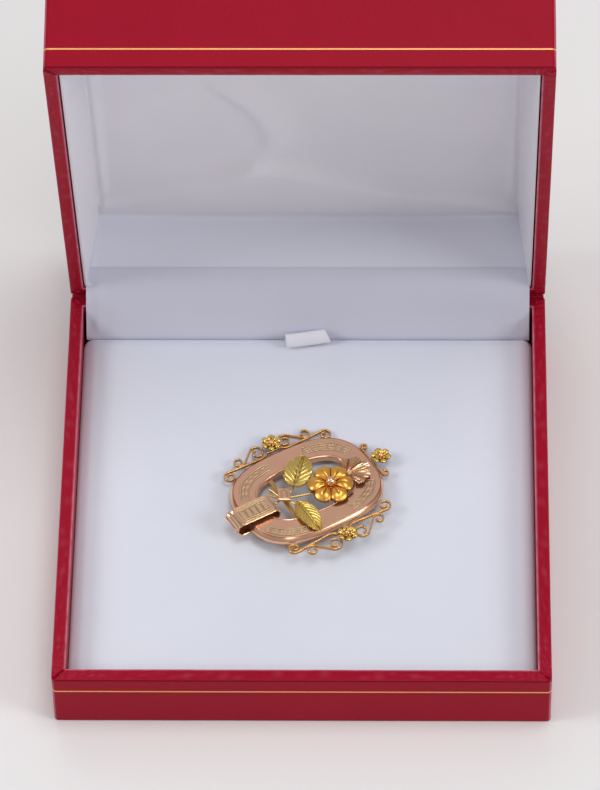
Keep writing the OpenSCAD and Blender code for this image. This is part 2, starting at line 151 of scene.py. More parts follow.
class Finishes(bpy.types.PropertyGroup):
    """Colours of the box and of the golds."""

    leather: colour_property("Leatherette", "Colour of the box's covering", (0.38, 0.003, 0.022))
    # Partly the worn edges' own colour and partly a painted highlight on them
    worn_edge: colour_property(
        "Worn edge", "Colour of the covering where its edges are worn", (0.72, 0.26, 0.36)
    )
    foil: colour_property("Foil", "Colour of the gold foil line", (1, 0.48, 0.17))
    velvet: colour_property("Velvet", "Colour of the pad", (0.79, 0.82, 0.91))
    satin: colour_property("Satin", "Colour of the lid's lining", (0.85, 0.835, 0.885))
    # A darker, bluer satin: painted shade under the open lid's overhang
    hinge_satin: colour_property("Hinge satin", "Colour of the satin over the hinge", (0.66, 0.67, 0.78))
    # A darker, bluer satin: painted shade on the lining's wall at the hinge
    shaded_wall_satin: colour_property("Wall satin", "Colour of the lining's wall at the hinge", (0.77, 0.78, 0.88))
    ribbon: colour_property("Ribbon", "Colour of the ribbon tab", (0.86, 0.85, 0.92))
    # A paler, yellower gold than the buckle's, a painted highlight on the engraved lines
    cut_gold: colour_property("Cut gold", "Colour of the engraver's bright cuts", (1, 0.8, 0.5))
    brass: colour_property("Brass", "Colour of the hinge", (0.72, 0.5, 0.2))
    rose_gold: colour_property("Rose gold", "Colour of the buckle", (1, 0.57, 0.36))
    strap_gold: colour_property("Strap gold", "Colour of the strap and the fan leaf", (1, 0.64, 0.4))
    trim_gold: colour_property("Trim gold", "Colour of the strap's frames and milled edges", (1, 0.74, 0.42))
    yellow_gold: colour_property("Yellow gold", "Colour of the stems and bars", (0.75, 0.5, 0.17))
    orange_gold: colour_property("Orange gold", "Colour of the large flower", (1, 0.51, 0.1))
    green_gold: colour_property("Green gold", "Colour of the leaves", (1, 0.74, 0.21))
    lemon_gold: colour_property("Lemon gold", "Colour of the small flowers", (1, 0.65, 0.16))
    copper_gold: colour_property("Copper gold", "Colour of the scrolls", (1, 0.55, 0.2))


# The corners of a square, in turn
CORNERS = [(-1, -1), (1, -1), (1, 1), (-1, 1)]


# Frames of the lid and the brooch


def box_sizes():
    return bpy.context.scene.gift_box_sizes


def brooch_sizes():
    return bpy.context.scene.brooch_sizes


def finishes():
    return bpy.context.scene.brooch_finishes


def on_frame():
    """Millimetres of the frame to metres."""
    return Matrix.Scale(MM, 4)


def opened():
    """From the shut lid, in millimetres, to the open one, in metres."""
    turn = Matrix.Rotation(-box_sizes().lid_open, 4, "X")
    return on_frame() @ Matrix.Translation(HINGE) @ turn @ Matrix.Translation(-HINGE)


def on_pad():
    """From the brooch's own frame, in millimetres, to its place on the pad, in metres."""
    sizes = brooch_sizes()
    place = Matrix.Translation((*BROOCH_AT, PAD_HIGH.z + sizes.lift / MM))
    return on_frame() @ place @ Matrix.Rotation(-sizes.lean, 4, "X") @ Matrix.Rotation(sizes.turn, 4, "Z")


# Meshes


def mix(a, b, f):
    return a + (b - a) * f


def step(low, high, x):
    """0 below low, 1 above high, and a smooth rise between them."""
    f = min(1, max(0, (x - low) / (high - low)))
    return f * f * (3 - 2 * f)


def hump(x, width):
    """A smooth hump of height 1 over 0."""
    return math.exp(-((x / width) ** 2))


class Shape:
    """Points and faces gathered from several surfaces."""

    def __init__(self):
        self.points = []
        self.faces = []

    def skin(self, rows, ring=False, tube=False, caps=False):
        """Quads over rows of points: ring joins the last row to the first, tube closes each row."""
        base, wide = len(self.points), len(rows[0])
        for i in range(len(rows) if ring else len(rows) - 1):
            a, b = base + i * wide, base + (i + 1) % len(rows) * wide
            for j in range(wide if tube else wide - 1):
                k = (j + 1) % wide
                self.faces.append((a + j, a + k, b + k, b + j))
        if caps:
            last = base + (len(rows) - 1) * wide
            self.faces.append(tuple(range(base + wide - 1, base - 1, -1)))
            self.faces.append(tuple(range(last, last + wide)))
        for row in rows:
            self.points.extend(tuple(point) for point in row)
        return self

    def solid(self, rings):
        """Quads over rings of points, closed at both ends."""
        return self.skin(rings, tube=True, caps=True)

    def plain(self, name, painted_shades=None):
        """The mesh as it is, with the painted shade of each point."""
        mesh = bpy.data.meshes.new(name)
        mesh.from_pydata(self.points, [], self.faces)
        if painted_shades:
            mark_painted_shade(mesh, painted_shades)
        return mesh

    def mesh(self, name, place=None, sharp=40):
        """The mesh, with its faces turned outwards and its sharp edges kept."""
        return tidy_mesh(self.plain(name), place, sharp)


def tidy_mesh(mesh, place=None, sharp=40):
    """Merges doubles, turns the faces outwards and shades the mesh smooth but for its sharp edges and its
    large flat ends."""
    if place is not None:
        mesh.transform(place)
    work = bmesh.new()
    work.from_mesh(mesh)
    bmesh.ops.remove_doubles(work, verts=work.verts, dist=MERGE * MM)
    bmesh.ops.recalc_face_normals(work, faces=work.faces)
    work.to_mesh(mesh)
    work.free()
    mesh.shade_smooth()
    mesh.set_sharp_from_angle(angle=math.radians(sharp))
    for face in mesh.polygons:
        if face.loop_total > FLAT_CORNERS:
            face.use_smooth = False
    return mesh


def linked(name, data):
    """A new object in the scene."""
    made = bpy.data.objects.new(name, data)
    bpy.context.scene.collection.objects.link(made)
    return made


def finished(made):
    """The plain mesh of an object after its modifiers. The object itself goes."""
    result = bpy.data.meshes.new_from_object(made.evaluated_get(bpy.context.evaluated_depsgraph_get()))
    made.modifiers.clear()
    bpy.data.objects.remove(made)
    return result


def piece(name, mesh, material, body="box", stands_for=()):
    """A piece of the object, riding on its body, in the place of the nodes it stands for.
    One that bends between two bodies has no body here."""
    mesh.materials.clear()
    mesh.materials.append(material)
    made = linked(name, mesh)
    if body:
        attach(made, body)
    if stands_for:
        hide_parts(*stands_for)
    return made


def carried(node, material):
    """A node of the frame whose shape is right: only its finish changes."""
    made = frame["nodes"][node]
    made.data.materials.clear()
    made.data.materials.append(material)
    return made


def baked(source, modifiers=()):
    """The mesh of a new object over source, after its modifiers, which are given as (kind, settings)."""
    made = linked("work", source)
    for kind, settings in modifiers:
        modifier = made.modifiers.new(kind.lower(), kind)
        for key, value in settings.items():
            setattr(modifier, key, value)
    bpy.context.view_layer.update()
    return finished(made)


def smooth_path(points, per=8):
    """Points on a smooth curve through the given points."""
    points = [Vector(p) for p in points]
    ends = [2 * points[0] - points[1], *points, 2 * points[-1] - points[-2]]
    path = []
    for a, b, c, d in zip(ends, ends[1:], ends[2:], ends[3:]):
        for k in range(per):
            t = k / per
            point = 2 * b + (c - a) * t
            point = point + (2 * a - 5 * b + 4 * c - d) * t * t
            point = point + (3 * b - a - 3 * c + d) * t**3
            path.append(0.5 * point)
    return [*path, points[-1]]


def full_turn(sides):
    """The turns of a ring's points."""
    return [2 * math.pi * k / sides for k in range(sides)]


def tube_rows(path, radius, sides=16):
    """Rings round a path. radius(f) is the radius at a share f of it."""
    rows = []
    side = Vector((0, 0, 1)).cross(path[1] - path[0]).normalized()
    for i, point in enumerate(path):
        way = (path[min(i + 1, len(path) - 1)] - path[max(i - 1, 0)]).normalized()
        side = (side - side.dot(way) * way).normalized()
        up = way.cross(side)
        r = radius(i / (len(path) - 1))
        rows.append([point + r * (math.cos(t) * side + math.sin(t) * up) for t in full_turn(sides)])
    return rows


def bead(centre, radius, sides=32):
    """A round bead, closed at its poles."""
    return add_bead(Shape(), centre, radius, sides)


def add_bead(shape, centre, radius, sides):
    """Adds a round bead to a shape."""
    rows = []
    for i in range(1, sides // 2):
        t = math.pi * i / (sides // 2)
        out, up = math.sin(t), math.cos(t)
        ring = [Vector((out * math.cos(a), out * math.sin(a), up)) for a in full_turn(sides)]
        rows.append([Vector(centre) + radius * way for way in ring])
    return shape.solid(rows)


# Node trees


def add(tree, kind, inputs=None, **settings):
    """A node in tree. An input that is a socket is linked, and any other value is set."""
    made = tree.nodes.new(kind)
    for key, value in settings.items():
        setattr(made, key, value)
    for key, value in (inputs or {}).items():
        if isinstance(value, bpy.types.NodeSocket):
            tree.links.new(value, made.inputs[key])
        else:
            made.inputs[key].default_value = value
    return made


def maths(tree, operation, a, b):
    """The result of one sum on two values."""
    return add(tree, "ShaderNodeMath", {0: a, 1: b}, operation=operation).outputs[0]


def geometry_tree(name, inputs):
    """An empty geometry tree with named inputs, given as {name: socket kind}, and its two end nodes."""
    tree = bpy.data.node_groups.new(name, "GeometryNodeTree")
    tree.interface.new_socket("Geometry", in_out="INPUT", socket_type="NodeSocketGeometry")
    for label, kind in inputs.items():
        tree.interface.new_socket(label, in_out="INPUT", socket_type="NodeSocket" + kind)
    tree.interface.new_socket("Geometry", in_out="OUTPUT", socket_type="NodeSocketGeometry")
    return tree, add(tree, "NodeGroupInput").outputs, add(tree, "NodeGroupOutput")


def end_tree(tree, result, given, end):
    """Closes a tree: the instances made real, with their material."""
    real = add(tree, "GeometryNodeRealizeInstances", {"Geometry": result})
    inputs = {"Geometry": real.outputs[0], "Material": given["Material"]}
    painted = add(tree, "GeometryNodeSetMaterial", inputs)
    tree.links.new(painted.outputs[0], end.inputs[0])
    return tree


def grown(tree, source, place=None, sharp=40, **inputs):
    """The plain mesh that a geometry tree makes of source. An input's name has _ for a space."""
    made = linked("work", source)
    modifier = made.modifiers.new("work", "NODES")
    modifier.node_group = tree
    for item in tree.interface.items_tree:
        key = item.name.replace(" ", "_").lower()
        if item.in_out == "INPUT" and key in inputs:
            modifier[item.identifier] = inputs[key]
    made.update_tag()
    bpy.context.view_layer.update()
    return tidy_mesh(finished(made), place, sharp)


def wire_tree():
    """Flat wire with rounded edges, laid along every line of a mesh of edges."""
    known = bpy.data.node_groups.get("Flat wire along lines")
    if known:
        return known
    kinds = {"Width": "Float", "Height": "Float", "Edge": "Float", "Material": "Material"}
    tree, given, end = geometry_tree("Flat wire along lines", kinds)
    lines = add(tree, "GeometryNodeMeshToCurve", {"Mesh": given["Geometry"]})
    upright = add(tree, "GeometryNodeSetCurveNormal", {"Curve": lines.outputs[0]}, mode="Z_UP")
    section = add(
        tree, "GeometryNodeCurvePrimitiveQuadrilateral", {"Width": given["Width"], "Height": given["Height"]}
    )
    rounded = add(
        tree, "GeometryNodeFilletCurve",
        {"Curve": section.outputs[0], "Radius": given["Edge"], "Count": 3, "Limit Radius": True},
        mode="POLY",
    )
    wire = add(
        tree, "GeometryNodeCurveToMesh",
        {"Curve": upright.outputs[0], "Profile Curve": rounded.outputs[0], "Fill Caps": True},
    )
    return end_tree(tree, wire.outputs[0], given, end)


def ring_tree():
    """Copies of one mesh turned round a centre, each a little larger or smaller than the last."""
    known = bpy.data.node_groups.get("Ring of petals")
    if known:
        return known
    kinds = {"Count": "Int", "Turn": "Float", "Spread": "Float", "Seed": "Int", "Material": "Material"}
    tree, given, end = geometry_tree("Ring of petals", kinds)
    places = add(tree, "GeometryNodeMeshLine", {"Count": given["Count"], "Offset": (0, 0, 0)}, mode="OFFSET")
    index = add(tree, "GeometryNodeInputIndex")
    share = maths(tree, "DIVIDE", index.outputs[0], given["Count"])
    angle = maths(tree, "ADD", maths(tree, "MULTIPLY", share, 2 * math.pi), given["Turn"])
    turned = add(tree, "ShaderNodeCombineXYZ", {"Z": angle})
    least = maths(tree, "SUBTRACT", 1.0, given["Spread"])
    size = add(tree, "FunctionNodeRandomValue", {"Seed": given["Seed"], 2: least, 3: 1}, data_type="FLOAT")
    copies = add(
        tree, "GeometryNodeInstanceOnPoints",
        {"Points": places.outputs[0], "Instance": given["Geometry"], "Rotation": turned.outputs[0],
         "Scale": size.outputs[1]},
    )
    return end_tree(tree, copies.outputs[0], given, end)


def motif_tree():
    """Copies of a motif along every line of a mesh of edges, every other one turned over if asked."""
    known = bpy.data.node_groups.get("Motif along lines")
    if known:
        return known
    kinds = {"Motif": "Object", "Spacing": "Float", "Flip": "Bool", "Material": "Material"}
    tree, given, end = geometry_tree("Motif along lines", kinds)
    lines = add(tree, "GeometryNodeMeshToCurve", {"Mesh": given["Geometry"]})
    upright = add(tree, "GeometryNodeSetCurveNormal", {"Curve": lines.outputs[0]}, mode="Z_UP")
    spaced = {"Curve": upright.outputs[0], "Length": given["Spacing"]}
    places = add(tree, "GeometryNodeCurveToPoints", spaced, mode="LENGTH")
    motif = add(tree, "GeometryNodeObjectInfo", {"Object": given["Motif"]}, transform_space="ORIGINAL")
    index = add(tree, "GeometryNodeInputIndex")
    turn = maths(tree, "MULTIPLY", maths(tree, "MODULO", index.outputs[0], 2.0), given["Flip"])
    axes = {"Primary Axis": places.outputs["Tangent"], "Secondary Axis": (0, 0, 1)}
    along = add(tree, "FunctionNodeAxesToRotation", axes, primary_axis="X", secondary_axis="Z")
    over = add(tree, "ShaderNodeCombineXYZ", {"Z": maths(tree, "MULTIPLY", turn, math.pi)})
    flipped = add(tree, "FunctionNodeEulerToRotation", {"Euler": over.outputs[0]})
    both = {"Rotation": along.outputs[0], "Rotate By": flipped.outputs[0]}
    facing = add(tree, "FunctionNodeRotateRotation", both, rotation_space="LOCAL")
    copies = add(
        tree, "GeometryNodeInstanceOnPoints",
        {"Points": places.outputs[0], "Instance": motif.outputs["Geometry"], "Rotation": facing.outputs[0]},
    )
    return end_tree(tree, copies.outputs[0], given, end)


def lint_tree():
    """Loose fibres scattered over a surface, each turned its own way."""
    known = bpy.data.node_groups.get("Loose fibres")
    if known:
        return known
    kinds = {"Fibre": "Object", "Density": "Float", "Seed": "Int", "Material": "Material"}
    tree, given, end = geometry_tree("Loose fibres", kinds)
    spread = {"Mesh": given["Geometry"], "Density": given["Density"], "Seed": given["Seed"]}
    places = add(tree, "GeometryNodeDistributePointsOnFaces", spread, distribute_method="RANDOM")
    fibre = add(tree, "GeometryNodeObjectInfo", {"Object": given["Fibre"]}, transform_space="ORIGINAL")
    turn = add(tree, "FunctionNodeRandomValue", {"Seed": given["Seed"], 3: 2 * math.pi}, data_type="FLOAT")
    around = add(tree, "ShaderNodeCombineXYZ", {"Z": turn.outputs[1]})
    size = add(tree, "FunctionNodeRandomValue", {"Seed": 11, 2: 0.4}, data_type="FLOAT")
    copies = add(
        tree, "GeometryNodeInstanceOnPoints",
        {"Points": places.outputs["Points"], "Instance": fibre.outputs["Geometry"],
         "Rotation": around.outputs[0], "Scale": size.outputs[1]},
    )
    return end_tree(tree, copies.outputs[0], given, end)


def lines_mesh(paths, closed=False):
    """A mesh of edges only, one line for each path."""
    mesh = bpy.data.meshes.new("lines")
    points, edges = [], []
    for path in paths:
        base = len(points)
        points.extend(tuple(p) for p in path)
        edges.extend((base + i, base + i + 1) for i in range(len(path) - 1))
        if closed:
            edges.append((base + len(path) - 1, base))
    mesh.from_pydata(points, edges, [])
    return mesh


def motif_mesh(name, motif, paths, spacing, material, flip=False, place=None, sharp=40, closed=False):
    """A mesh of copies of the mesh motif along paths."""
    holder = linked("motif", motif)
    made = grown(
        motif_tree(), lines_mesh(paths, closed), place, sharp,
        motif=holder, spacing=spacing, flip=flip, material=material,
    )
    bpy.data.objects.remove(holder)
    made.name = name
    return made


def wire_mesh(name, paths, width, height, material, edge=None, place=None, closed=False, sharp=40):
    """A mesh of flat wire along paths."""
    edge = float(edge or 0.3 * min(width, height))
    made = grown(
        wire_tree(), lines_mesh(paths, closed), place, sharp,
        width=float(width), height=float(height), edge=edge, material=material,
    )
    made.name = name
    return made


# How much wider than a raised line its bed of painted shadow is, and the bed's share of its height
SHADOW_BED_WIDER = 0.14
SHADOW_BED_HIGH = 0.3


def raised_lines(name, paths, width, height, material, place, closed=False):
    """Flat wire along paths on a wider, lower bed painted dark, a painted shadow round the raised line."""
    joined = bmesh.new()
    wires = (
        (width, height, 0.35 * min(width, height), 0.0),
        (width + SHADOW_BED_WIDER, SHADOW_BED_HIGH * height, 0.1 * height, 1.0),
    )
    for wide, high, edge, hollow in wires:
        wire = wire_mesh(name, paths, wide, high, material, edge, place, closed)
        mark_painted_shade(wire, [hollow] * len(wire.vertices))
        joined.from_mesh(wire)
    made = bpy.data.meshes.new(name)
    joined.to_mesh(made)
    joined.free()
    made.shade_smooth()
    made.set_sharp_from_angle(angle=math.radians(40))
    return made


# Materials


def new_material(name):
    material = bpy.data.materials.new(name)
    material.use_nodes = True
    tree = material.node_tree
    place = add(tree, "ShaderNodeTexCoord").outputs["Object"]
    return material, tree, tree.nodes["Principled BSDF"], place


def mix_colours(tree, factor, a, b):
    node = add(tree, "ShaderNodeMix", data_type="RGBA")
    for index, value in ((0, factor), (6, a), (7, b)):
        if isinstance(value, bpy.types.NodeSocket):
            tree.links.new(value, node.inputs[index])
        else:
            node.inputs[index].default_value = value if index == 0 else (*value, 1)
    return node.outputs[2]


def between(tree, value, low, high):
    """A value from 0 to 1 brought between low and high."""
    return add(tree, "ShaderNodeMapRange", {"Value": value, "To Min": low, "To Max": high}).outputs[0]


def clouds(tree, place, scale, detail, roughness=0.5):
    """A cloudy value from 0 to 1."""
    inputs = {"Vector": place, "Scale": scale, "Detail": detail, "Roughness": roughness}
    return add(tree, "ShaderNodeTexNoise", inputs).outputs["Fac"]


def marked(tree, label):
    """The value that a mesh keeps for each point by its label."""
    return add(tree, "ShaderNodeAttribute", attribute_name=label).outputs["Fac"]


def relief(tree, shader, height, strength, distance, invert=False):
    """Gives the shader a bump, its distance in metres."""
    inputs = {"Height": height, "Strength": strength, "Distance": distance}
    bump = add(tree, "ShaderNodeBump", inputs, invert=invert)
    tree.links.new(bump.outputs[0], shader.inputs["Normal"])


def shaded(colour, by):
    return tuple(min(1, channel * by) for channel in colour)


def leatherette():
    """Red grained covering: small pebbles, a slow drift of colour, worn edges painted paler, partly as wear
    and partly as a painted highlight, and a near black painted shade in the rim's groove and the mitres'
    folds.
    """
    known = bpy.data.materials.get("Red leatherette")
    if known:
        return known
    material, tree, shader, place = new_material("Red leatherette")
    red = finishes().leather[:]
    slow = clouds(tree, place, 60, 4)
    cells = {"Vector": place, "Scale": 2400, "Randomness": 1}
    pebbles = add(tree, "ShaderNodeTexVoronoi", cells).outputs["Distance"]
    fine = clouds(tree, place, 5200, 4, 0.65)
    body = mix_colours(tree, slow, shaded(red, 0.86), shaded(red, 1.14))
    grain = mix_colours(tree, pebbles, body, shaded(red, 0.84))
    worn_and_lit_edges = mix_colours(tree, marked(tree, "worn"), grain, finishes().worn_edge[:])
    # Near black painted shade in the rim's groove and the mitres' folds
    pressed = mix_colours(tree, marked(tree, "hollow"), worn_and_lit_edges, shaded(red, 0.12))
    tree.links.new(pressed, shader.inputs["Base Color"])
    tree.links.new(between(tree, fine, 0.34, 0.46), shader.inputs["Roughness"])
    relief(tree, shader, maths(tree, "ADD", pebbles, fine), 0.22, 0.04 * MM, True)
    shader.inputs["Specular IOR Level"].default_value = 0.11
    return material


def foil():
    """Gold foil pressed into the covering."""
    known = bpy.data.materials.get("Gold foil")
    if known:
        return known
    material, tree, shader, place = new_material("Gold foil")
    colour = finishes().foil[:]
    worn = clouds(tree, place, 900, 5)
    rubbed = mix_colours(tree, worn, shaded(colour, 0.8), shaded(colour, 1.12))
    tree.links.new(rubbed, shader.inputs["Base Color"])
    tree.links.new(between(tree, worn, 0.28, 0.5), shader.inputs["Roughness"])
    relief(tree, shader, worn, 0.2, 0.03 * MM)
    shader.inputs["Metallic"].default_value = 0.5
    return material


def cloth(name, colour, thread, roughness, sheen, deep=None):
    """Cloth on Object coordinates: fine threads or pile, slow shade changes and a soft sheen. Where the
    painted shade attribute marks it, the cloth takes the colour deep, a painted shade."""
    known = bpy.data.materials.get(name)
    if known:
        return known
    material, tree, shader, place = new_material(name)
    slow = clouds(tree, place, 45, 3)
    pile = clouds(tree, place, 1 / thread, 5, 0.7)
    shade = mix_colours(tree, slow, shaded(colour, 0.965), shaded(colour, 1.03))
    if deep:
        shade = mix_colours(tree, marked(tree, "hollow"), shade, deep)
    speckle = mix_colours(tree, between(tree, pile, 0, 0.16), shade, shaded(colour, 0.8))
    tree.links.new(speckle, shader.inputs["Base Color"])
    shader.inputs["Roughness"].default_value = roughness
    shader.inputs["Sheen Weight"].default_value = sheen
    shader.inputs["Sheen Roughness"].default_value = 0.4
    shader.inputs["Specular IOR Level"].default_value = 0.4
    relief(tree, shader, pile, 0.3, 0.3 * thread)
    return material


def velvet():
    return cloth("White velvet", finishes().velvet[:], 0.22 * MM, 0.95, 0.25)


def satin():
    return cloth("White satin", finishes().satin[:], 0.09 * MM, 0.34, 0.15, finishes().shaded_wall_satin[:])


def hinge_cloth():
    # A darker copy of the satin, painted shade over the hinge
    return cloth("White hinge satin", finishes().hinge_satin[:], 0.09 * MM, 0.5, 0.1)


def ribbon_cloth():
    return cloth("White ribbon", finishes().ribbon[:], 0.12 * MM, 0.55, 0.2)


# The golds, by their finish: [material, roughness, how bright their painted shade stays]
GOLDS = {
    "rose_gold": ("Rose gold", 0.19, 0.45),
    "strap_gold": ("Strap gold", 0.18, 0.4),
    "trim_gold": ("Trim gold", 0.26, 0.2),
    "yellow_gold": ("Yellow gold", 0.24, 0.45),
    "orange_gold": ("Orange gold", 0.31, 0.22),
    "green_gold": ("Green gold", 0.3, 0.42),
    "lemon_gold": ("Lemon gold", 0.22, 0.2),
    "cut_gold": ("Bright cut gold", 0.36, 0.24),
    "copper_gold": ("Copper gold", 0.17, 0.3),
    "brass": ("Hinge brass", 0.35, 0.45),
}


def gold(kind):
    """Worked metal: the colour drifts a little, and where the painted shade attribute marks it, the colour is
    painted darker and warmer in place of shade.
    """
    name, roughness, painted_shade_brightness = GOLDS[kind]
    known = bpy.data.materials.get(name)
    if known:
        return known
    material, tree, shader, place = new_material(name)
    colour = getattr(finishes(), kind)[:]
    drift = clouds(tree, place, 260, 3)
    scuffs = clouds(tree, place, 3000, 5, 0.75)
    surface = mix_colours(tree, drift, shaded(colour, 0.93), shaded(colour, 1.05))
    painted_shade_colour = [channel * painted_shade_brightness * share for channel, share in zip(colour, (1, 0.82, 0.66))]
    with_painted_shade = mix_colours(tree, marked(tree, "hollow"), surface, painted_shade_colour)
    tree.links.new(with_painted_shade, shader.inputs["Base Color"])
    tree.links.new(between(tree, scuffs, roughness * 0.7, roughness * 1.4), shader.inputs["Roughness"])
    relief(tree, shader, scuffs, 0.12, 0.02 * MM)
    shader.inputs["Metallic"].default_value = 0.92
    return material


def mark_points(mesh, label, values):
    """Keeps on the mesh a value from 0 to 1 for each point, which its material reads by its label."""
    attribute = mesh.attributes.new(label, "FLOAT", "POINT")
    attribute.data.foreach_set("value", values)


def mark_painted_shade(mesh, values):
    """Keeps on the mesh the painted shade of each point, which darkens its finish there in place of shade."""
    mark_points(mesh, "hollow", values)


# The box


def square_loop(half_w, half_d, corner, z, along=96, round_steps=6):
    """Points round an upright square with rounded corners, closer together near the corners."""
    points = []
    quarter = [(1, 1, 0), (-1, 1, 90), (-1, -1, 180), (1, -1, 270)]
    arcs = []
    for sx, sy, start in quarter:
        cx, cy = sx * (half_w - corner), sy * (half_d - corner)
        turns = [math.radians(start + 90 * k / round_steps) for k in range(round_steps + 1)]
        arcs.append([(cx + corner * math.cos(t), cy + corner * math.sin(t)) for t in turns])
    for i, arc in enumerate(arcs):
        points.extend(arc)
        a, b = arc[-1], arcs[(i + 1) % 4][0]
        shares = [(1 - math.cos(math.pi * k / along)) / 2 for k in range(1, along)]
        points.extend((mix(a[0], b[0], f), mix(a[1], b[1], f)) for f in shares)
    return [(x, y, z) for x, y in points]


# The groove under a rim's lip: how far below the rim it starts, and its points [down, inset]
GROOVE_START = 0.86
GROOVE = [(0.76, 0.12), (0.6, 0.14), (0.46, 0.08)]


def shell_loops(half, high, sizes):
    """Loops of a covered tray: its underside, its walls, the lip of its rim and its inside, to the floor."""
    edge, rim, corner = sizes.edge / MM, sizes.rim / MM, sizes.corner / MM
    lip_r, lip_out = 0.22, 0.03
    turns = [math.radians(a) for a in (0, 15, 30, 45, 60, 75, 90)]
    section = [(edge * (1 - math.sin(t)), edge * (1 - math.cos(t))) for t in turns]
    section += [(0, mix(edge, high - GROOVE_START, k / 6)) for k in range(1, 7)]
    section += [(inset, high - down) for down, inset in GROOVE] + [(-lip_out, high - 0.34)]
    section += [(lip_r * (1 - math.cos(t)) - lip_out, high - lip_r * (1 - math.sin(t))) for t in turns]
    across = [k / 10 for k in range(1, 10)]
    section += [(mix(lip_r, WALL - rim, f), high + 0.16 * f * (1 - f)) for f in across]
    section += [(WALL - rim * (1 - math.sin(t)), high - rim * (1 - math.cos(t))) for t in turns]
    section += [(WALL, mix(high - rim, PANEL, k / 4)) for k in range(1, 5)]
    return [
        square_loop(half - inset, half - inset, max(0.15, corner - 0.25 * inset) + 0.2 * edge, z)
        for inset, z in section
    ]


def rim_fold(point, half, height):
    """How far the covering stands up at a point of the rim: the mitre's folds, and wrinkles across it."""
    x, y = abs(point.x), abs(point.y)
    from_corner = half - min(x, y)
    side = (1 if x > y else -1) * math.copysign(1, point.x * point.y)
    off = (x - y) * math.sqrt(0.5) * math.copysign(1, point.x * point.y)
    near = hump(from_corner, 3.4) * step(10, -10, point.y)
    folds = hump(off - 0.45, 0.28) - 0.9 * hump(off - 0.05, 0.16) + 0.5 * hump(off + 0.8, 0.3)
    mitre = height * near * folds
    where = Vector((1.5 * min(x, y) + 9 * side, 0.35 * max(x, y), math.copysign(5, point.x) + point.y / half))
    front = step(half - WALL - 1, half - WALL, -point.y) * step(-0.3, 0.2, noise.noise(point * 0.12))
    wrinkles = noise.noise(where) * height * (0.4 * math.exp(-from_corner / 6) + 0.08 + 0.22 * front)
    return mitre + wrinkles


def rim_wear_and_painted_light(point, half, high):
    """How pale and how dark the covering is painted at a point: paler on the rim's edges, partly wear and
    partly a painted highlight, with streaks of painted highlight along the rim, and a painted shade in its
    groove and in the mitres' folds."""
    x, y = abs(point.x), abs(point.y)
    inset = half - max(x, y)
    patchy = 0.75 + 0.5 * noise.noise(point * 0.35)
    top = step(high - 0.7, high - 0.15, point.z)
    sides = step(half - WALL, half - WALL - 1, -point.y)
    worn = hump(inset - WALL + 0.12, 0.2) * top * patchy + 0.5 * hump(inset, 0.12) * top * patchy * sides
    # Lengthwise streaks of painted highlight on the rim's top
    highlight_streaks = noise.noise(Vector((1.7 * min(x, y), 0.4 * max(x, y), 3)))
    worn += 0.14 * max(0, highlight_streaks) * top * step(0, 0.4, inset) * step(WALL, WALL - 0.4, inset)
    worn += 0.9 * patchy * hump(half - min(x, y) - 0.26, 0.12) * (1 - top)
    off = (x - y) * math.sqrt(0.5) * math.copysign(1, point.x * point.y)
    near = step(4.2, 2.6, half - min(x, y)) * step(10, -10, point.y)
    mitre = (hump(off - 0.05, 0.13) + 0.7 * hump(off + 1.2, 0.12) * step(1, 1.6, inset)) * top * near
    groove = step(0.02, 0.08, inset) * step(0.5, 0.3, inset) * step(high - 0.4, high - 0.46, point.z)
    groove *= step(high - 0.88, high - 0.82, point.z)
    return min(1, worn), min(1, 0.85 * mitre + 0.6 * groove)


def covered_shell(name, high, place):
    """A tray covered in leatherette, with room for the hinge, and walls that waver a little."""
    sizes = box_sizes()
    half, fold = TRAY_HIGH.x, sizes.fold / MM
    wavered = []
    for loop in shell_loops(half, high, sizes):
        row = []
        for point in loop:
            at = Vector(point)
            out = 1 + 0.0004 * (noise.noise(at * 0.09) - 0.5)
            # The folds stay below the middle of the gap between the two rims
            lift = (rim_fold(at, half, fold) - 0.4 * fold) * step(high - 0.3, high, at.z)
            row.append(Vector((at.x * out, at.y * out, min(at.z + lift, high + 0.4 * RIM_GAP))))
        wavered.append(row)
    shell = Shape().solid(wavered).mesh(name, on_frame())
    room = [Vector((x, HINGE.y, high + RIM_GAP / 2)) for x in (-KNUCKLES_LONG / 2, KNUCKLES_LONG / 2)]
    cutter = Shape().solid(tube_rows(room, lambda f: KNUCKLE_ROOM, 40))
    tool = linked("hinge room", cutter.mesh("hinge room", on_frame()))
    cut = baked(shell, [("BOOLEAN", {"operation": "DIFFERENCE", "object": tool, "solver": "EXACT"})])
    bpy.data.objects.remove(tool)
    cut = tidy_mesh(cut, None, 35)
    # Paler edges, partly wear and partly painted highlight, and painted shade in the groove and the mitres'
    # folds
    wear_and_painted_light = [rim_wear_and_painted_light(vertex.co / MM, half, high) for vertex in cut.vertices]
    mark_points(cut, "worn", [worn for worn, pressed in wear_and_painted_light])
    mark_painted_shade(cut, [pressed for worn, pressed in wear_and_painted_light])
    return tidy_mesh(cut, place @ on_frame().inverted(), 35)


def foil_line(name, z, place, body):
    """The line of foil round the outside walls."""
    sizes = box_sizes()
    half, thin = TRAY_HIGH.x + 0.01, 0.06
    loop = [Vector(p) for p in square_loop(half, half, sizes.corner / MM + 0.2, z, along=24)]
    mesh = wire_mesh(name, [loop], thin, sizes.line_width / MM, foil(), thin * 0.4, place, closed=True)
    return piece(name, mesh, foil(), body)


class BROOCH_OT_tray(bpy.types.Operator):
    """Makes the tray and its foil line."""

    bl_idname = "brooch.tray"
    bl_label = "Tray"

    def execute(self, context):
        high = TRAY_HIGH.z
        mesh = covered_shell("tray", high, on_frame())
        piece("tray", mesh, leatherette(), "box", ["box_base"])
        foil_line("tray_foil_line", high - box_sizes().tray_line / MM, on_frame(), "box")
        return {"FINISHED"}


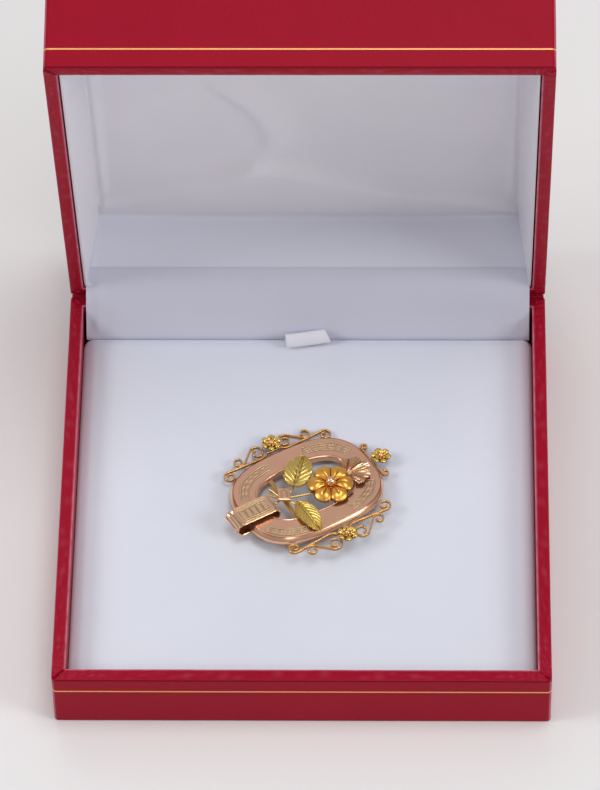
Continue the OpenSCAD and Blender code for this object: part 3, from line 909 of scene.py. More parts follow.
class BROOCH_OT_lid(bpy.types.Operator):
    """Makes the lid and its foil line."""

    bl_idname = "brooch.lid"
    bl_label = "Lid"

    def execute(self, context):
        # The lid is drawn as a tray that stands on its own top panel
        top = TRAY_HIGH.z + RIM_GAP + LID_HIGH
        place = opened() @ Matrix.Translation((0, 0, top)) @ Matrix.Diagonal((1, 1, -1, 1))
        mesh = covered_shell("lid", LID_HIGH, place)
        piece("lid", mesh, leatherette(), "lid", ["lid_shell"])
        foil_line("lid_foil_line", LID_HIGH - box_sizes().lid_line / MM, place, "lid")
        return {"FINISHED"}


class BROOCH_OT_hinge(bpy.types.Operator):
    """Gives the hinge its brass, and closes the joint beyond it with rolls of covering."""

    bl_idname = "brooch.hinge"
    bl_label = "Hinge"

    def execute(self, context):
        for node in ("hinge_base", "hinge_lid"):
            carried(node, gold("brass"))
        rolls = Shape()
        for side in (-1, 1):
            reach = (KNUCKLES_LONG / 2, TRAY_HIGH.x - 0.35)
            ends = [Vector((side * x, HINGE.y + ROLL_BACK, HINGE.z - ROLL_DOWN)) for x in reach]
            rolls.solid(tube_rows(ends, lambda f: ROLL_R))
        piece("hinge_rolls", rolls.mesh("rolls", on_frame()), leatherette())
        return {"FINISHED"}


# How far the velvet bulges over the plain pad's back edge
PAD_BACK = 1.4
# The cells that the pad's cover is cut into
PAD_CELL = 1.2


def simulated(mesh, swell, scale=10, frames=20):
    """Lets the cover of a pad swell under pressure, at ten times its size, and caps how far a point moves."""
    mesh.transform(Matrix.Scale(scale, 4))
    start = [v.co.copy() for v in mesh.vertices]
    made = linked("pad cloth", mesh)
    scene = bpy.context.scene
    cover = made.modifiers.new("cloth", "CLOTH")
    cover.settings.use_pressure = True
    cover.settings.uniform_pressure_force = 4
    cover.settings.tension_stiffness = 15
    cover.settings.effector_weights.gravity = 0
    cover.point_cache.frame_end = frames
    for number in range(1, frames + 1):
        scene.frame_set(number)
    swollen = finished(made)
    scene.frame_set(1)
    for vertex, at in zip(swollen.vertices, start):
        move = vertex.co - at
        vertex.co = at + move * min(1, swell * scale / max(move.length, 1e-9))
    swollen.transform(Matrix.Scale(1 / scale, 4))
    return swollen


class BROOCH_OT_pad(bpy.types.Operator):
    """Makes the velvet pad, swollen by a cloth simulation, with loose fibres on it."""

    bl_idname = "brooch.pad"
    bl_label = "Pad"

    def execute(self, context):
        sizes = box_sizes()
        swell, edge = sizes.pad_swell / MM, sizes.pad_edge / MM
        middle = (PAD_LOW + PAD_HIGH) / 2
        half = (PAD_HIGH - PAD_LOW) / 2
        high = PAD_HIGH.z - swell
        turns = [math.radians(15 * k) for k in range(7)]
        section = [(0.3, PAD_LOW.z), (0, mix(PAD_LOW.z, high - edge, 0.5))]
        section += [(edge * (1 - math.cos(t)), high - edge * (1 - math.sin(t))) for t in turns]
        rows = []
        for inset, z in section:
            loop = square_loop(half.x - inset, half.y - inset, 0.7 + 0.4 * inset, z, along=40)
            rows.append([(x + middle.x, y + middle.y, z) for x, y, z in loop])
        block = Shape().solid(rows).mesh("pad", on_frame())
        for vertex in block.vertices:
            vertex.co.y += PAD_BACK * MM * step(0, half.y, vertex.co.y / MM)
        remesh = ("REMESH", {"mode": "VOXEL", "voxel_size": PAD_CELL * MM})
        cover = baked(block, [remesh])
        cover = simulated(cover, sizes.pad_swell)
        smooth = ("SMOOTH", {"factor": 0.5, "iterations": 3})
        cover = baked(cover, [smooth, ("SUBSURF", {"levels": 1, "render_levels": 1})])
        # The pad is pressed in between the walls, so below its top its sides reach out to them
        reach = TRAY_HIGH.x - WALL - 0.02
        for vertex in cover.vertices:
            at = vertex.co / MM
            pressed = step(high - 0.05, high - 0.55 * edge, at.z)
            if at.z > high - edge:
                at.z += 0.05 * noise.noise(at * 0.07)
            for axis in (0, 1):
                back = PAD_BACK if axis == 1 and at.y > 0 else 0
                near = step(half[axis] - 1.6, half[axis] - 0.3, abs(at[axis] - middle[axis]) - back)
                wall = PAD_HIGH.y + PAD_BACK if axis == 1 and at.y > 0 else reach
                at[axis] = mix(at[axis], math.copysign(wall, at[axis]), pressed * near)
            at.z = min(max(at.z, PAD_LOW.z), PAD_HIGH.z)
            vertex.co = at * MM
        cover.shade_smooth()
        made = piece("velvet_pad", cover, velvet(), "box", ["pad"])

        ground = bpy.data.meshes.new("lint ground")
        wide, deep = half.x - 4, half.y - 4
        ends = [(s * wide, t * deep + middle.y, PAD_HIGH.z - 0.02) for s, t in CORNERS]
        ground.from_pydata(ends, [], [(0, 1, 2, 3)])
        bow = [Vector((x, 0.25 * math.cos(x * 1.4), 0.05)) for x in (-0.9, -0.45, 0, 0.45, 0.9)]
        fibre = Shape().solid(tube_rows(bow, lambda f: 0.025, 5))
        holder = linked("fibre", fibre.mesh("fibre"))
        per_area = sizes.lint / (4 * wide * deep)
        lint = grown(
            lint_tree(), ground, on_frame(), density=per_area, seed=4, fibre=holder, material=velvet()
        )
        bpy.data.objects.remove(holder)
        piece("pad_lint", lint, velvet())
        return {"FINISHED"}


# The lining of the lid, in the shut lid's frame: its top panel, its walls and the padding at the hinge
LINING_RIM_HALF = 55.9
LINING_TOP_HALF = 53.0
LINING_TOP = 39.5
LINING_RIM = 17.9
LINING_BACK = 56.2
# The share of the sheet, out from its middle, that the top panel takes, and the cells along a side
LINING_PANEL = 0.71
LINING_CELLS = 180
# The padding along the hinge wall: its height off the top panel in the middle and at its ends
BOLSTER = (2.7, 1.8)
# The upper side of that padding, from left to right: [x, y]
RIDGE = [(-56, 53.2), (-53.2, 51.9), (-44.6, 49.1), (-30, 41.2), (-18, 33.8), (-11.3, 32.2), (0.3, 36.6),
         (16.2, 41.3), (28.8, 45), (39.7, 48.8), (52.9, 54.5), (56, 55)]
# The fold that runs from the padding up the top panel
FOLD = [(-24, 38.3), (-14, 29.5), (-9, 21.5), (-8.6, 14), (-11, 4.5), (-15.3, -3.3), (-20.5, -10), (-27, -17)]


def ridge_path():
    """Points along the smooth upper side of the padding."""
    return smooth_path([(x, y, 0) for x, y in RIDGE], 8)


def ridge_at(x, path):
    """Where the ridge lies at x."""
    for a, b in zip(path, path[1:]):
        if x <= b.x:
            return mix(a.y, b.y, (x - a.x) / (b.x - a.x))
    return path[-1].y


def line_distance(point, line):
    """The distance from a point to a line of points, how far along the line it lies and its side."""
    best = (1e9, 0, 1)
    for i, (a, b) in enumerate(zip(line, line[1:])):
        a, b = Vector(a), Vector(b)
        way = b - a
        f = min(1, max(0, (point - a).dot(way) / way.length_squared))
        best = min(best, ((point - a - f * way).length, (i + f) / (len(line) - 1), way.cross(point - a)))
    return best


def round_corner(a, b, top_a, top_b, radius):
    """Moves a point near the corner (top_a, top_b) of two walls on to the arc that rounds it."""
    ca, cb = top_a - radius, top_b - radius
    if a <= ca or b <= cb:
        return a, b
    way = Vector((a - ca, b - cb))
    way = way * radius / max(way.length, 1e-9)
    return ca + way.x, cb + way.y


def bolster(x, y, ridge):
    """How far the padding along the hinge wall stands off the top panel."""
    crest = mix(*BOLSTER, step(25, 52, abs(x))) * step(57, 52, abs(x))
    if y < ridge:
        return crest * hump(y - ridge, mix(4, 1.8, step(6, 36, abs(x + 12))))
    return mix(crest, 0.65 * crest, (y - ridge) / (LINING_BACK - ridge))


def lining_point(u, v, path):
    """A point of the satin, where u and v run from -1 to 1 over the sheet."""
    s = max(abs(u), abs(v), 1e-6)
    down = max(0, (s - LINING_PANEL) / (1 - LINING_PANEL))
    half = mix(LINING_TOP_HALF, LINING_RIM_HALF, down)
    x, y = half * u / max(s, LINING_PANEL), LINING_BACK * v / max(s, LINING_PANEL)
    z = mix(LINING_TOP, LINING_RIM, down)
    if y > 0:
        top = LINING_TOP - bolster(x, y, ridge_at(x, path))
        y, z = round_corner(y, min(z, top), LINING_BACK, top, 1.8)
    else:
        flipped, z = round_corner(-y, z, LINING_BACK, LINING_TOP, 3)
        y = -flipped
    flat_x, z = round_corner(abs(x), z, half, LINING_TOP, 1.2) if down < 0.3 else (abs(x), z)
    x = math.copysign(flat_x, x)
    # The fold stands up, steeper on its right, the panel's edges are rolled, and the padding wavers
    lift = 0
    if z > LINING_TOP - 8:
        away, share, side = line_distance(Vector((x, y)), FOLD)
        ends = step(0, 0.15, share) * step(1, 0.75, share)
        width = 2.2 if side < 0 else mix(3, 7, share)
        lift += ends * (1.25 * hump(away, width) - (0 if side < 0 else 0.5 * hump(away - 11, 6)))
        lift += 1.4 * hump(LINING_TOP_HALF - 1.4 - abs(x), 1.3) * step(54, 40, y) * step(-57, -50, y)
    lift += 0.4 * noise.noise(Vector((x, y, z)) * 0.04) * step(54, 44, max(abs(x), abs(y)))
    return Vector((x, y, z - lift))


def lining_shares(cells):
    """Shares from -1 to 1, closer together where the panel turns into its walls."""
    half = 2000
    fine = [k / half - 1 for k in range(2 * half + 1)]
    run = [0]
    for share in fine[1:]:
        run.append(run[-1] + 1 + 2.6 * hump(abs(share) - LINING_PANEL + 0.01, 0.03))
    shares, at = [], 0
    for k in range(cells + 1):
        while at < 2 * half and run[at] < run[-1] * k / cells:
            at += 1
        shares.append(fine[at])
    return shares


class BROOCH_OT_lining(bpy.types.Operator):
    """Makes the padded satin lining of the lid, with its folds."""

    bl_idname = "brooch.lining"
    bl_label = "Lining"

    def execute(self, context):
        shares, path = lining_shares(LINING_CELLS), ridge_path()
        rows = [[lining_point(u, v, path) for u in shares] for v in shares]
        shape = Shape().skin(rows)
        # The lining's wall at the hinge is marked for a darker, bluer painted shade, as the lid shades it
        behind = [step(LINING_BACK - 3, LINING_BACK - 0.6, y) for x, y, z in shape.points]
        sheet = shape.plain("lining", behind)
        sheet.flip_normals()
        sheet.transform(opened())
        thick = ("SOLIDIFY", {"thickness": 0.5 * MM, "offset": -1})
        sheet = baked(sheet, [("SMOOTH", {"factor": 0.5, "iterations": 2}), thick])
        sheet = tidy_mesh(sheet, None, 60)
        made = piece("satin_lining", sheet, satin(), "lid", ["lid_lining"])
        return {"FINISHED"}


# The satin over the hinge, from behind the pad to the lid's hinge wall, in the open pose: [y, z]
APRON_LINE = [(51.8, 9.4), (51.84, 10.3), (52.3, 11.4), (54.9, 15.2), (57.6, 18.9), (60.3, 21.35),
              (62.2, 22.35), (64.35, 22.8), (64.75, 22.45)]
APRON_HALF = 56.0
APRON_CELLS = 150


def sheet_mesh(name, line, wide, point, place, modifiers):
    """A sheet of cloth over a line. point(at, f, k) is its point at a place of the line, a share f along it
    and k cells from its left edge."""
    last = len(line) - 1
    rows = [[point(at, i / last, k) for k in range(wide + 1)] for i, at in enumerate(line)]
    sheet = Shape().skin(rows).plain(name)
    sheet.transform(place)
    return tidy_mesh(baked(sheet, modifiers), None, 60)


def apron_point(at, f, k):
    """A point of the hinge satin, which sags a little, more at its ends."""
    x = mix(-APRON_HALF, APRON_HALF, k / APRON_CELLS)
    slack = math.sin(math.pi * f)
    sag = 0.28 * slack * noise.noise(Vector((x * 0.05, f * 2.2, 4.2)))
    sag += 0.5 * slack * step(46, 56, abs(x)) * noise.noise(Vector((x * 0.5, f * 3, 9.1)))
    return Vector((x, at.y - 0.7 * sag, at.z + 0.7 * sag))


class BROOCH_OT_apron(bpy.types.Operator):
    """Makes the satin that crosses the hinge behind the pad."""

    bl_idname = "brooch.apron"
    bl_label = "Hinge satin"

    def execute(self, context):
        line = smooth_path([(0, y, z) for y, z in APRON_LINE], 6)
        thick = ("SOLIDIFY", {"thickness": 0.25 * MM, "offset": -1})
        sheet = sheet_mesh("apron", line, APRON_CELLS, apron_point, on_frame(), [thick])
        made = piece("hinge_satin", sheet, hinge_cloth(), None, ["hinge_apron"])
        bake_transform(made)
        return {"FINISHED"}


# The ribbon, from the pad's back edge over the top to the nose and back under: [y, z]
RIBBON_LINE = [(3.6, 0.2), (3.3, 1.4), (2.3, 2.8), (1.1, 2.6), (0.25, 1.4), (0.1, 0.4), (0.7, 0.12),
               (2.2, 0.1), (3.4, 0.1)]
RIBBON_HALF = 5.1
RIBBON_CELLS = 24
# The ribbon's place from the pad's back edge and its turn in degrees
RIBBON_AT = (-0.2, -2.2, 0.3)
RIBBON_TURN = 10


def ribbon_point(at, f, k):
    """A point of the ribbon, which is wider on its right where it turns over."""
    g = 2 * k / RIBBON_CELLS - 1
    reach = RIBBON_HALF + 1.1 * step(0.25, 0.6, f) * step(0.95, 0.6, f) * (1 if g > 0 else 0)
    return Vector((reach * g, at.y, at.z + 0.12 * g * g))


class BROOCH_OT_ribbon(bpy.types.Operator):
    """Makes the folded ribbon that lifts the pad out."""

    bl_idname = "brooch.ribbon"
    bl_label = "Ribbon tab"

    def execute(self, context):
        line = smooth_path([(0, y, z) for y, z in RIBBON_LINE], 7)
        x, y, z = RIBBON_AT
        place = Matrix.Translation((x, PAD_HIGH.y + y, PAD_HIGH.z + z))
        place = place @ Matrix.Rotation(math.radians(RIBBON_TURN), 4, "Z")
        finish = [
            ("SOLIDIFY", {"thickness": 0.22 * MM, "offset": 0}),
            ("SUBSURF", {"levels": 1, "render_levels": 1}),
        ]
        sheet = sheet_mesh("ribbon", line, RIBBON_CELLS, ribbon_point, on_frame() @ place, finish)
        made = piece("ribbon", sheet, ribbon_cloth(), "box", ["ribbon_tab"])
        return {"FINISHED"}


# The brooch, in its own frame: p along the buckle, q across it, h up from its flat top
BUCKLE = (18.55, 14.5)
OPENING = (12.3, 7.9)
OVAL_POWER = 2.85
# The rows of points round the buckle, and the fine turns that they are chosen from
BUCKLE_ROWS = 288
FINE_TURNS = 2880
BUCKLE_H = 1.9


def signed_power(x, e):
    return math.copysign(abs(x) ** e, x)


def band(across, turn):
    """A point of the buckle's band: across is 0 on its outer oval and 1 at its opening."""
    c, s = math.cos(turn), math.sin(turn)
    a, b = mix(BUCKLE[0], OPENING[0], across), mix(BUCKLE[1], OPENING[1], across)
    return a * signed_power(c, 2 / OVAL_POWER), b * signed_power(s, 2 / OVAL_POWER)


def band_turns(count):
    """Turns that keep the points of the oval about evenly apart, where its formula bunches them."""
    fine = full_turn(FINE_TURNS)
    points = [Vector(band(0.5, t)) for t in fine]
    run = [0]
    for a, b in zip(points, points[1:] + points[:1]):
        run.append(run[-1] + (b - a).length)
    turns, at = [], 0
    for k in range(count):
        target = run[-1] * k / count
        while run[at + 1] < target:
            at += 1
        turns.append(2 * math.pi * (at + (target - run[at]) / (run[at + 1] - run[at])) / FINE_TURNS)
    return turns


def buckle_section(sizes):
    """The band's section, [how far across from 0 to 1, height, painted shade], an open channel underneath.
    Shade is painted low on the outer wall, in the incised line by the bevel, at the opening's lip and on the
    inner walls.
    """
    metal, bevel = sizes.metal / MM, sizes.bevel / MM
    wide = BUCKLE[1] - OPENING[1]
    outside = [(0.12, -BUCKLE_H, 0.3), (0, 0.14 - BUCKLE_H, 0), (0, -1.2, 0), (0.01, -0.98, 0)]
    for k in range(9):
        f = k / 8
        outside.append((mix(0.03, bevel, f), mix(-0.9, -0.08, f) + 0.03 * math.sin(math.pi * f), 0))
    outside = [(d / wide, h, dark) for d, h, dark in outside]
    line = [(bevel + 0.04, -0.2, 1), (bevel + 0.12, -0.2, 1), (bevel + 0.16, -0.05, 0.5)]
    line += [(bevel + 0.22, -0.02, 0), (bevel + 0.3, -0.03, 0)]
    top = [(d / wide, h, dark) for d, h, dark in line]
    top += [(mix(bevel + 0.3, wide - 0.5, k / 20) / wide, -0.03, 0) for k in range(1, 20)]
    lip = [(wide - 0.48, -0.03, 0.5), (wide - 0.44, 0.02, 0), (wide - 0.32, 0.03, 0), (wide - 0.14, -0.06, 0)]
    lip += [(wide - 0.03, -0.2, 0), (wide, -0.4, 0), (wide, 0.3 - BUCKLE_H, 0.2)]
    lip += [(wide - metal, 0.3 - BUCKLE_H, 0.4), (wide - metal, -metal - 0.1, 0.6)]
    lip += [(bevel + metal, -metal - 0.1, 0.6), (metal, -metal - bevel, 0.5), (metal, -BUCKLE_H, 0.3)]
    return outside + top + [(d / wide, h, dark) for d, h, dark in lip]


# Engraved panels on the band: [first turn, last turn, outer edge, inner edge], turns in degrees
ENGRAVED = [(17, 77, 0.35, 0.66), (101, 164, 0.37, 0.68), (205, 254, 0.22, 0.48), (284, 336, 0.32, 0.6)]


def in_panel(across, turn):
    """1 inside an engraved panel, whose ground takes a light painted shade, and 0 outside."""
    for first, last, outer, inner in ENGRAVED:
        if first < turn < last and outer < across < inner:
            return 1
    return 0


def band_line(across, first, last, h, per_degree=0.5):
    count = max(2, int(abs(last - first) * per_degree))
    return [Vector((*band(across, math.radians(mix(first, last, k / count))), h)) for k in range(count + 1)]


# The section of the dark sheet beside a stroke, a painted shadow of its cut, from the stroke's middle
CUT_SHADOW = ((0, 0, 0.012), (0.07, -0.09, 0.012), (0.04, -0.04, -0.02))


def comma(long, wide, high):
    """One curled stroke of the engraver's tool, its crest bright and beside it a dark sheet, the painted
    shadow of its cut.
    """
    path = []
    for k in range(13):
        t = math.radians(mix(-60, 250, k / 12))
        r = mix(0.5, 0.16, k / 12) * wide
        path.append(Vector((0.22 * long + r * math.cos(t), r * math.sin(t), 0)))
    path.insert(0, Vector((-0.5 * long, -0.42 * wide, 0)))
    shape = Shape().solid(tube_rows(path, lambda f: high * (0.5 + 0.5 * math.sin(math.pi * f)), 8))
    painted_shades = [0.0] * len(shape.points)
    shape.solid([[p + Vector(corner) for corner in CUT_SHADOW] for p in path])
    painted_shades += [1.0] * (len(shape.points) - len(painted_shades))
    return shape.plain("stroke", painted_shades)


class BROOCH_OT_buckle(bpy.types.Operator):
    """Makes the oval buckle, with its rolled edge and four engraved panels."""

    bl_idname = "brooch.buckle"
    bl_label = "Buckle"

    def execute(self, context):
        sizes = brooch_sizes()
        section = buckle_section(sizes)
        rows, painted_shades = [], []
        for turn in band_turns(BUCKLE_ROWS):
            row = []
            for across, h, dark in section:
                p, q = band(across, turn)
                flat = 0.1 < across < 0.95 and h > -0.2
                dent = 0.035 * noise.noise(Vector((p, q, 0)) * 0.16) if flat else 0
                row.append(Vector((p, q, h + dent)))
                painted_shades.append(max(dark, 0.2 * in_panel(across, math.degrees(turn))))
            rows.append(row)
        mesh = Shape().skin(rows, ring=True, tube=True).mesh("buckle", on_pad(), 50)
        mark_painted_shade(mesh, painted_shades)
        piece("buckle", mesh, gold("rose_gold"), "box", ["buckle_frame"])

        borders, strokes = [], []
        for first, last, outer, inner in ENGRAVED:
            a, b = band_line(outer, first, last, 0.0), band_line(inner, last, first, 0.0)
            borders.append([*a, *b])
            for share in (0.3, 0.7):
                strokes.append(band_line(mix(outer, inner, share), first + 2.5, last - 2.5, 0.0))
        border = raised_lines("engraved_borders", borders, 0.2, 0.18, gold("cut_gold"), on_pad(), closed=True)
        piece("engraved_borders", border, gold("cut_gold"))
        stroke = comma(1.0, 0.55, 0.075)
        cut = motif_mesh("engraved_scrolls", stroke, strokes, 0.96, gold("cut_gold"), True, on_pad())
        piece("engraved_scrolls", cut, gold("cut_gold"))
        return {"FINISHED"}


# The strap's loop: its width, where its ends lie, its height and its place across the buckle
STRAP_W = 6
STRAP_LONG = 12.1
STRAP_END = -21.8
STRAP_Q = -0.85
STRAP_RISE = 1.4
STRAP_LOW = -BUCKLE_H - 0.1 - 0.4
STRAP_R = (STRAP_RISE - STRAP_LOW) / 2
STRAP_MID = (STRAP_RISE + STRAP_LOW) / 2
# The flutes over its outer end: [turn in degrees, width in degrees, height]
FLUTES = [(180, 10, 0.3), (141, 17, 0.5), (102, 9, 0.3)]
# The outline's points on each straight and on each end, and how far the milling runs on to the inner end
STRAP_LINE = 24
STRAP_ARC = 40
MILLED_ARC = 18


def strap_outline(count_arc=STRAP_ARC, count_line=STRAP_LINE):
    """Points and outward ways of the strap's outline, seen along its width."""
    left, right = STRAP_END + STRAP_R, STRAP_END + STRAP_LONG - STRAP_R
    points = []
    for k in range(count_line):
        points.append((mix(left, right, k / count_line), STRAP_R, 0, 1))
    for k in range(count_arc):
        t = math.radians(90 - 180 * k / count_arc)
        points.append((right + STRAP_R * math.cos(t), STRAP_R * math.sin(t), math.cos(t), math.sin(t)))
    for k in range(count_line):
        points.append((mix(right, left, k / count_line), -STRAP_R, 0, -1))
    for k in range(count_arc):
        t = 270 - 180 * k / count_arc
        raised = STRAP_R + sum(high * hump(t - at, wide) for at, wide, high in FLUTES)
        t = math.radians(t)
        points.append((left + raised * math.cos(t), raised * math.sin(t), math.cos(t), math.sin(t)))
    return points


def flute_painted_shade(p, h):
    """The painted shade at a point of the strap's outline, in the grooves beside the flutes of its outer end.
    """
    turn = math.degrees(math.atan2(h, p - STRAP_END - STRAP_R)) % 360
    if not 90 < turn < 196:
        return 0
    return 0.9 * max(hump(turn - at, 3) for at in (118, 164))


class BROOCH_OT_strap(bpy.types.Operator):
    """Makes the strap's loop, with its engraved panels, its milled edges and its fluted end."""

    bl_idname = "brooch.strap"
    bl_label = "Strap"

    def execute(self, context):
        metal, soft = brooch_sizes().metal / MM, 0.12
        half = STRAP_W / 2
        across = [(-half, metal - soft), (-half, soft), (-half + soft, 0)]
        across += [(-half + 0.9, 0), (-half + 1.0, 0.05)]
        across += [(mix(1.0 - half, half - 1.0, k / 6), 0.05) for k in range(1, 6)]
        across += [(half - 1.0, 0.05), (half - 0.9, 0), (half - soft, 0), (half, soft), (half, metal - soft)]
        across += [(half - soft, metal), (soft - half, metal)]
        rows, painted_shades = [], []
        for p, h, way_p, way_h in strap_outline():
            rows.append(
                [Vector((p - way_p * d, STRAP_Q + q, STRAP_MID + h - way_h * d)) for q, d in across]
            )
            # The loop's inner face is painted dark, as the shade inside the loop
            painted_shades += [0.9 if d == metal else flute_painted_shade(p, h) for q, d in across]
        mesh = Shape().skin(rows, ring=True, tube=True).mesh("strap", on_pad(), 38)
        mark_painted_shade(mesh, painted_shades)
        piece("strap", mesh, gold("strap_gold"), "box", ["strap_loop"])

        top = STRAP_RISE - 0.02
        first, last = STRAP_END + STRAP_R + 0.5, STRAP_END + STRAP_LONG - STRAP_R + 0.1
        lines = [
            [Vector((first, STRAP_Q + side * reach, top)), Vector((last, STRAP_Q + side * reach, top))]
            for side in (-1, 1)
            for reach in (2.35, 1.75)
        ]
        frames = []
        for k in range(5):
            a = mix(first + 0.1, last - 0.1, (k + 0.1) / 5)
            b = mix(first + 0.1, last - 0.1, (k + 0.9) / 5)
            low, high = STRAP_Q - 1.3, STRAP_Q + 1.3
            frames.append([Vector((p, q, top)) for p, q in ((a, low), (b, low), (b, high), (a, high))])
        rails = raised_lines("strap_lines", lines, 0.22, 0.26, gold("trim_gold"), on_pad())
        piece("strap_lines", rails, gold("trim_gold"))
        panels = raised_lines("strap_panels", frames, 0.22, 0.24, gold("trim_gold"), on_pad(), closed=True)
        piece("strap_panels", panels, gold("trim_gold"))
        grain = bead((0, 0, 0), 0.15, 8).mesh("grain")
        edges = []
        for side in (-1, 1):
            edges.append(
                [
                    Vector((p, STRAP_Q + side * (half - 0.16), STRAP_MID + h - 0.03))
                    for p, h, way_p, way_h in strap_outline()[: STRAP_LINE + MILLED_ARC]
                ]
            )
        milled = motif_mesh("strap_milling", grain, edges, 0.27, gold("trim_gold"), False, on_pad())
        piece("strap_milling", milled, gold("trim_gold"))
        return {"FINISHED"}


# The stems and their cut ends: lines of points in the brooch's frame
STEMS = [
    [(-9.5, 2.9, -0.2), (-6.3, 0.1, -0.36), (0.1, -2.4, 0), (4.6, -3.7, 0.5)],
    [(-8.1, 4.5, -0.2), (-6.9, 0.4, -0.36), (-5, -3.6, 0.02)],
    [(-9.1, -0.4, -0.2), (-6.6, 0.2, -0.36), (-3.8, 1, 0.05), (-2.4, 2.1, 0.1)],
]
STEM_R = 0.28
TIE_AT = (-6.4, 0.2, 0.8)
TIE_SIZE = (3.2, 4)
TIE_TURN = -27
TIE_TILT = 8
# The tie's section, from its underside to the middle of its top: [inset, height]
TIE_SECTION = [(0.3, -0.4), (0.08, -0.36), (0, -0.2), (0, 0.16), (0.06, 0.3), (0.2, 0.38), (0.5, 0.4),
               (0.52, 0.33), (0.8, 0.34), (1.2, 0.36)]


class BROOCH_OT_stems(bpy.types.Operator):
    """Makes the stems, the tie that binds them and the finish of the two bars under them."""

    bl_idname = "brooch.stems"
    bl_label = "Stems and tie"

    def execute(self, context):
        shape = Shape()
        for line in STEMS:
            path = smooth_path(line, 10)
            shape.solid(tube_rows(path, lambda f: STEM_R * (1.05 - 0.15 * f), 18))
        add_bead(shape, (-9.1, -0.4, -0.15), 0.48, 24)
        mesh = shape.mesh("stems", on_pad())
        piece("stems_of_bouquet", mesh, gold("yellow_gold"), "box", ["stems"])
        carried("cross_bars", gold("yellow_gold"))

        # The tie is a small crowned plaque, thick along its front edge
        half_p, half_q = TIE_SIZE[0] / 2, TIE_SIZE[1] / 2
        rows = []
        for inset, h in TIE_SECTION:
            row = []
            for (s, t), (s2, t2) in zip(CORNERS, CORNERS[1:] + CORNERS[:1]):
                for k in range(10):
                    a, b = mix(s, s2, k / 10), mix(t, t2, k / 10)
                    row.append(Vector((a * (half_p - inset), b * (half_q - inset), h)))
            rows.append(row)
        plaque = Shape().solid(rows)
        place = on_pad() @ Matrix.Translation(TIE_AT) @ Matrix.Rotation(math.radians(TIE_TURN), 4, "Z")
        place = place @ Matrix.Rotation(math.radians(TIE_TILT), 4, "Y")
        piece("tie_plaque", plaque.mesh("tie", place, 30), gold("rose_gold"), "box", ["tie"])
        lines = [[Vector((-0.75, q, 0.35)), Vector((0.75, q, 0.35))] for q in (-1.3, 1.3)]
        lines += [[Vector((p, -1.1, 0.35)), Vector((p, 1.1, 0.35))] for p in (-0.7, 0.7)]
        marks = raised_lines("tie_lines", lines, 0.16, 0.14, gold("trim_gold"), place)
        piece("tie_lines", marks, gold("trim_gold"))
        stroke = comma(0.8, 0.5, 0.04)
        strokes = [[Vector((0, -1.1, 0.36)), Vector((0, 1.1, 0.36))]]
        cut = motif_mesh("tie_scrolls", stroke, strokes, 0.72, gold("cut_gold"), True, place)
        piece("tie_scrolls", cut, gold("cut_gold"))
        return {"FINISHED"}


def petal(long, start, wide, puff, groove, cup=0, steps=26, across=22):
    """One puffed petal of thin metal, from its root along +X, closed underneath, and its painted shade: in
    its groove, at its sides, edges and root, and over its underside.
    """
    widest = 0.66
    painted_shades, rows = [], []
    for i in range(steps + 1):
        f = i / steps
        round_end = math.sqrt(max(0.0004, 1 - ((f - widest) / (1 - widest)) ** 2)) if f > widest else 1
        half = wide * (0.22 + 0.78 * step(0, 1, f / widest) if f < widest else round_end)
        dome = math.sin(math.pi * (0.06 + 0.94 * f) ** 1.12) ** 0.75
        top, dark = [], []
        for k in range(across + 1):
            v = 2 * k / across - 1
            swell = (1 - abs(v) ** 2.6) ** 0.6
            cut = hump(v, 0.1) * step(0.8, 0.5, f) * step(0, 0.12, f)
            side = hump(abs(v) - 0.42, 0.12) * step(0.62, 0.3, f) * step(0, 0.1, f)
            h = puff * dome * swell - groove * cut - 0.2 * groove * side + cup * f * f
            top.append(Vector((mix(start, long, f), half * v, h)))
            dark.append(min(1, 0.75 * cut + 0.3 * side + 0.9 * step(0.72, 1, abs(v)) + 0.7 * step(0.2, 0, f)))
        under = [Vector((p.x, p.y * 0.98, min(p.z, cup * f * f) - 0.22)) for p in reversed(top)]
        rows.append(top + under)
        painted_shades += dark + [1.0] * len(under)
    return Shape().solid(rows), painted_shades


def petal_ring(name, shape, painted_shades, count, turn, seed, material, place):
    """Petals round a centre, as one mesh that keeps the painted shade of each point."""
    made = grown(
        ring_tree(), shape.plain(name, painted_shades), place, 60,
        count=count, turn=turn, spread=0.04, seed=seed, material=material,
    )
    made.name = name
    return made


FLOWER_AT = (4.9, -3.4, 1.45)
FLOWER_LEAN = 7


def on_stem():
    """The large flower's place, leaning to the front."""
    turn = brooch_sizes().turn
    lean = Matrix.Rotation(math.radians(FLOWER_LEAN), 4, Vector((math.cos(turn), -math.sin(turn), 0)))
    return on_pad() @ Matrix.Translation(FLOWER_AT) @ lean


class BROOCH_OT_flower(bpy.types.Operator):
    """Makes the large flower, with its ball and the small star round it."""

    bl_idname = "brooch.flower"
    bl_label = "Large flower"

    def execute(self, context):
        sizes = brooch_sizes()
        long = sizes.flower / MM
        wide = 0.72 * long * math.tan(math.pi / sizes.petals)
        shape, painted_shades = petal(long, 0.7, wide, 1.2, 0.3)
        mesh = petal_ring(
            "flower_petals", shape, painted_shades, sizes.petals, math.radians(30), 3, gold("orange_gold"), on_stem()
        )
        piece("flower_petals", mesh, gold("orange_gold"), "box", ["flower"])
        star, dark = petal(1.6, 0.2, 0.42, 0.25, 0.02, 0.2, 10, 8)
        middle = on_stem() @ Matrix.Translation((0, 0, 0.2))
        # The small star round the ball is painted dark, as shade round the ball
        dark = [max(0.6, d) for d in dark]
        ring = petal_ring("flower_star", star, dark, 8, 0.2, 5, gold("orange_gold"), middle)
        piece("flower_star", ring, gold("orange_gold"))
        mesh = bead((0, 0, 1.3), 1.22).mesh("ball", on_stem())
        piece("flower_bead", mesh, gold("strap_gold"), "box", ["flower_ball"])
        return {"FINISHED"}


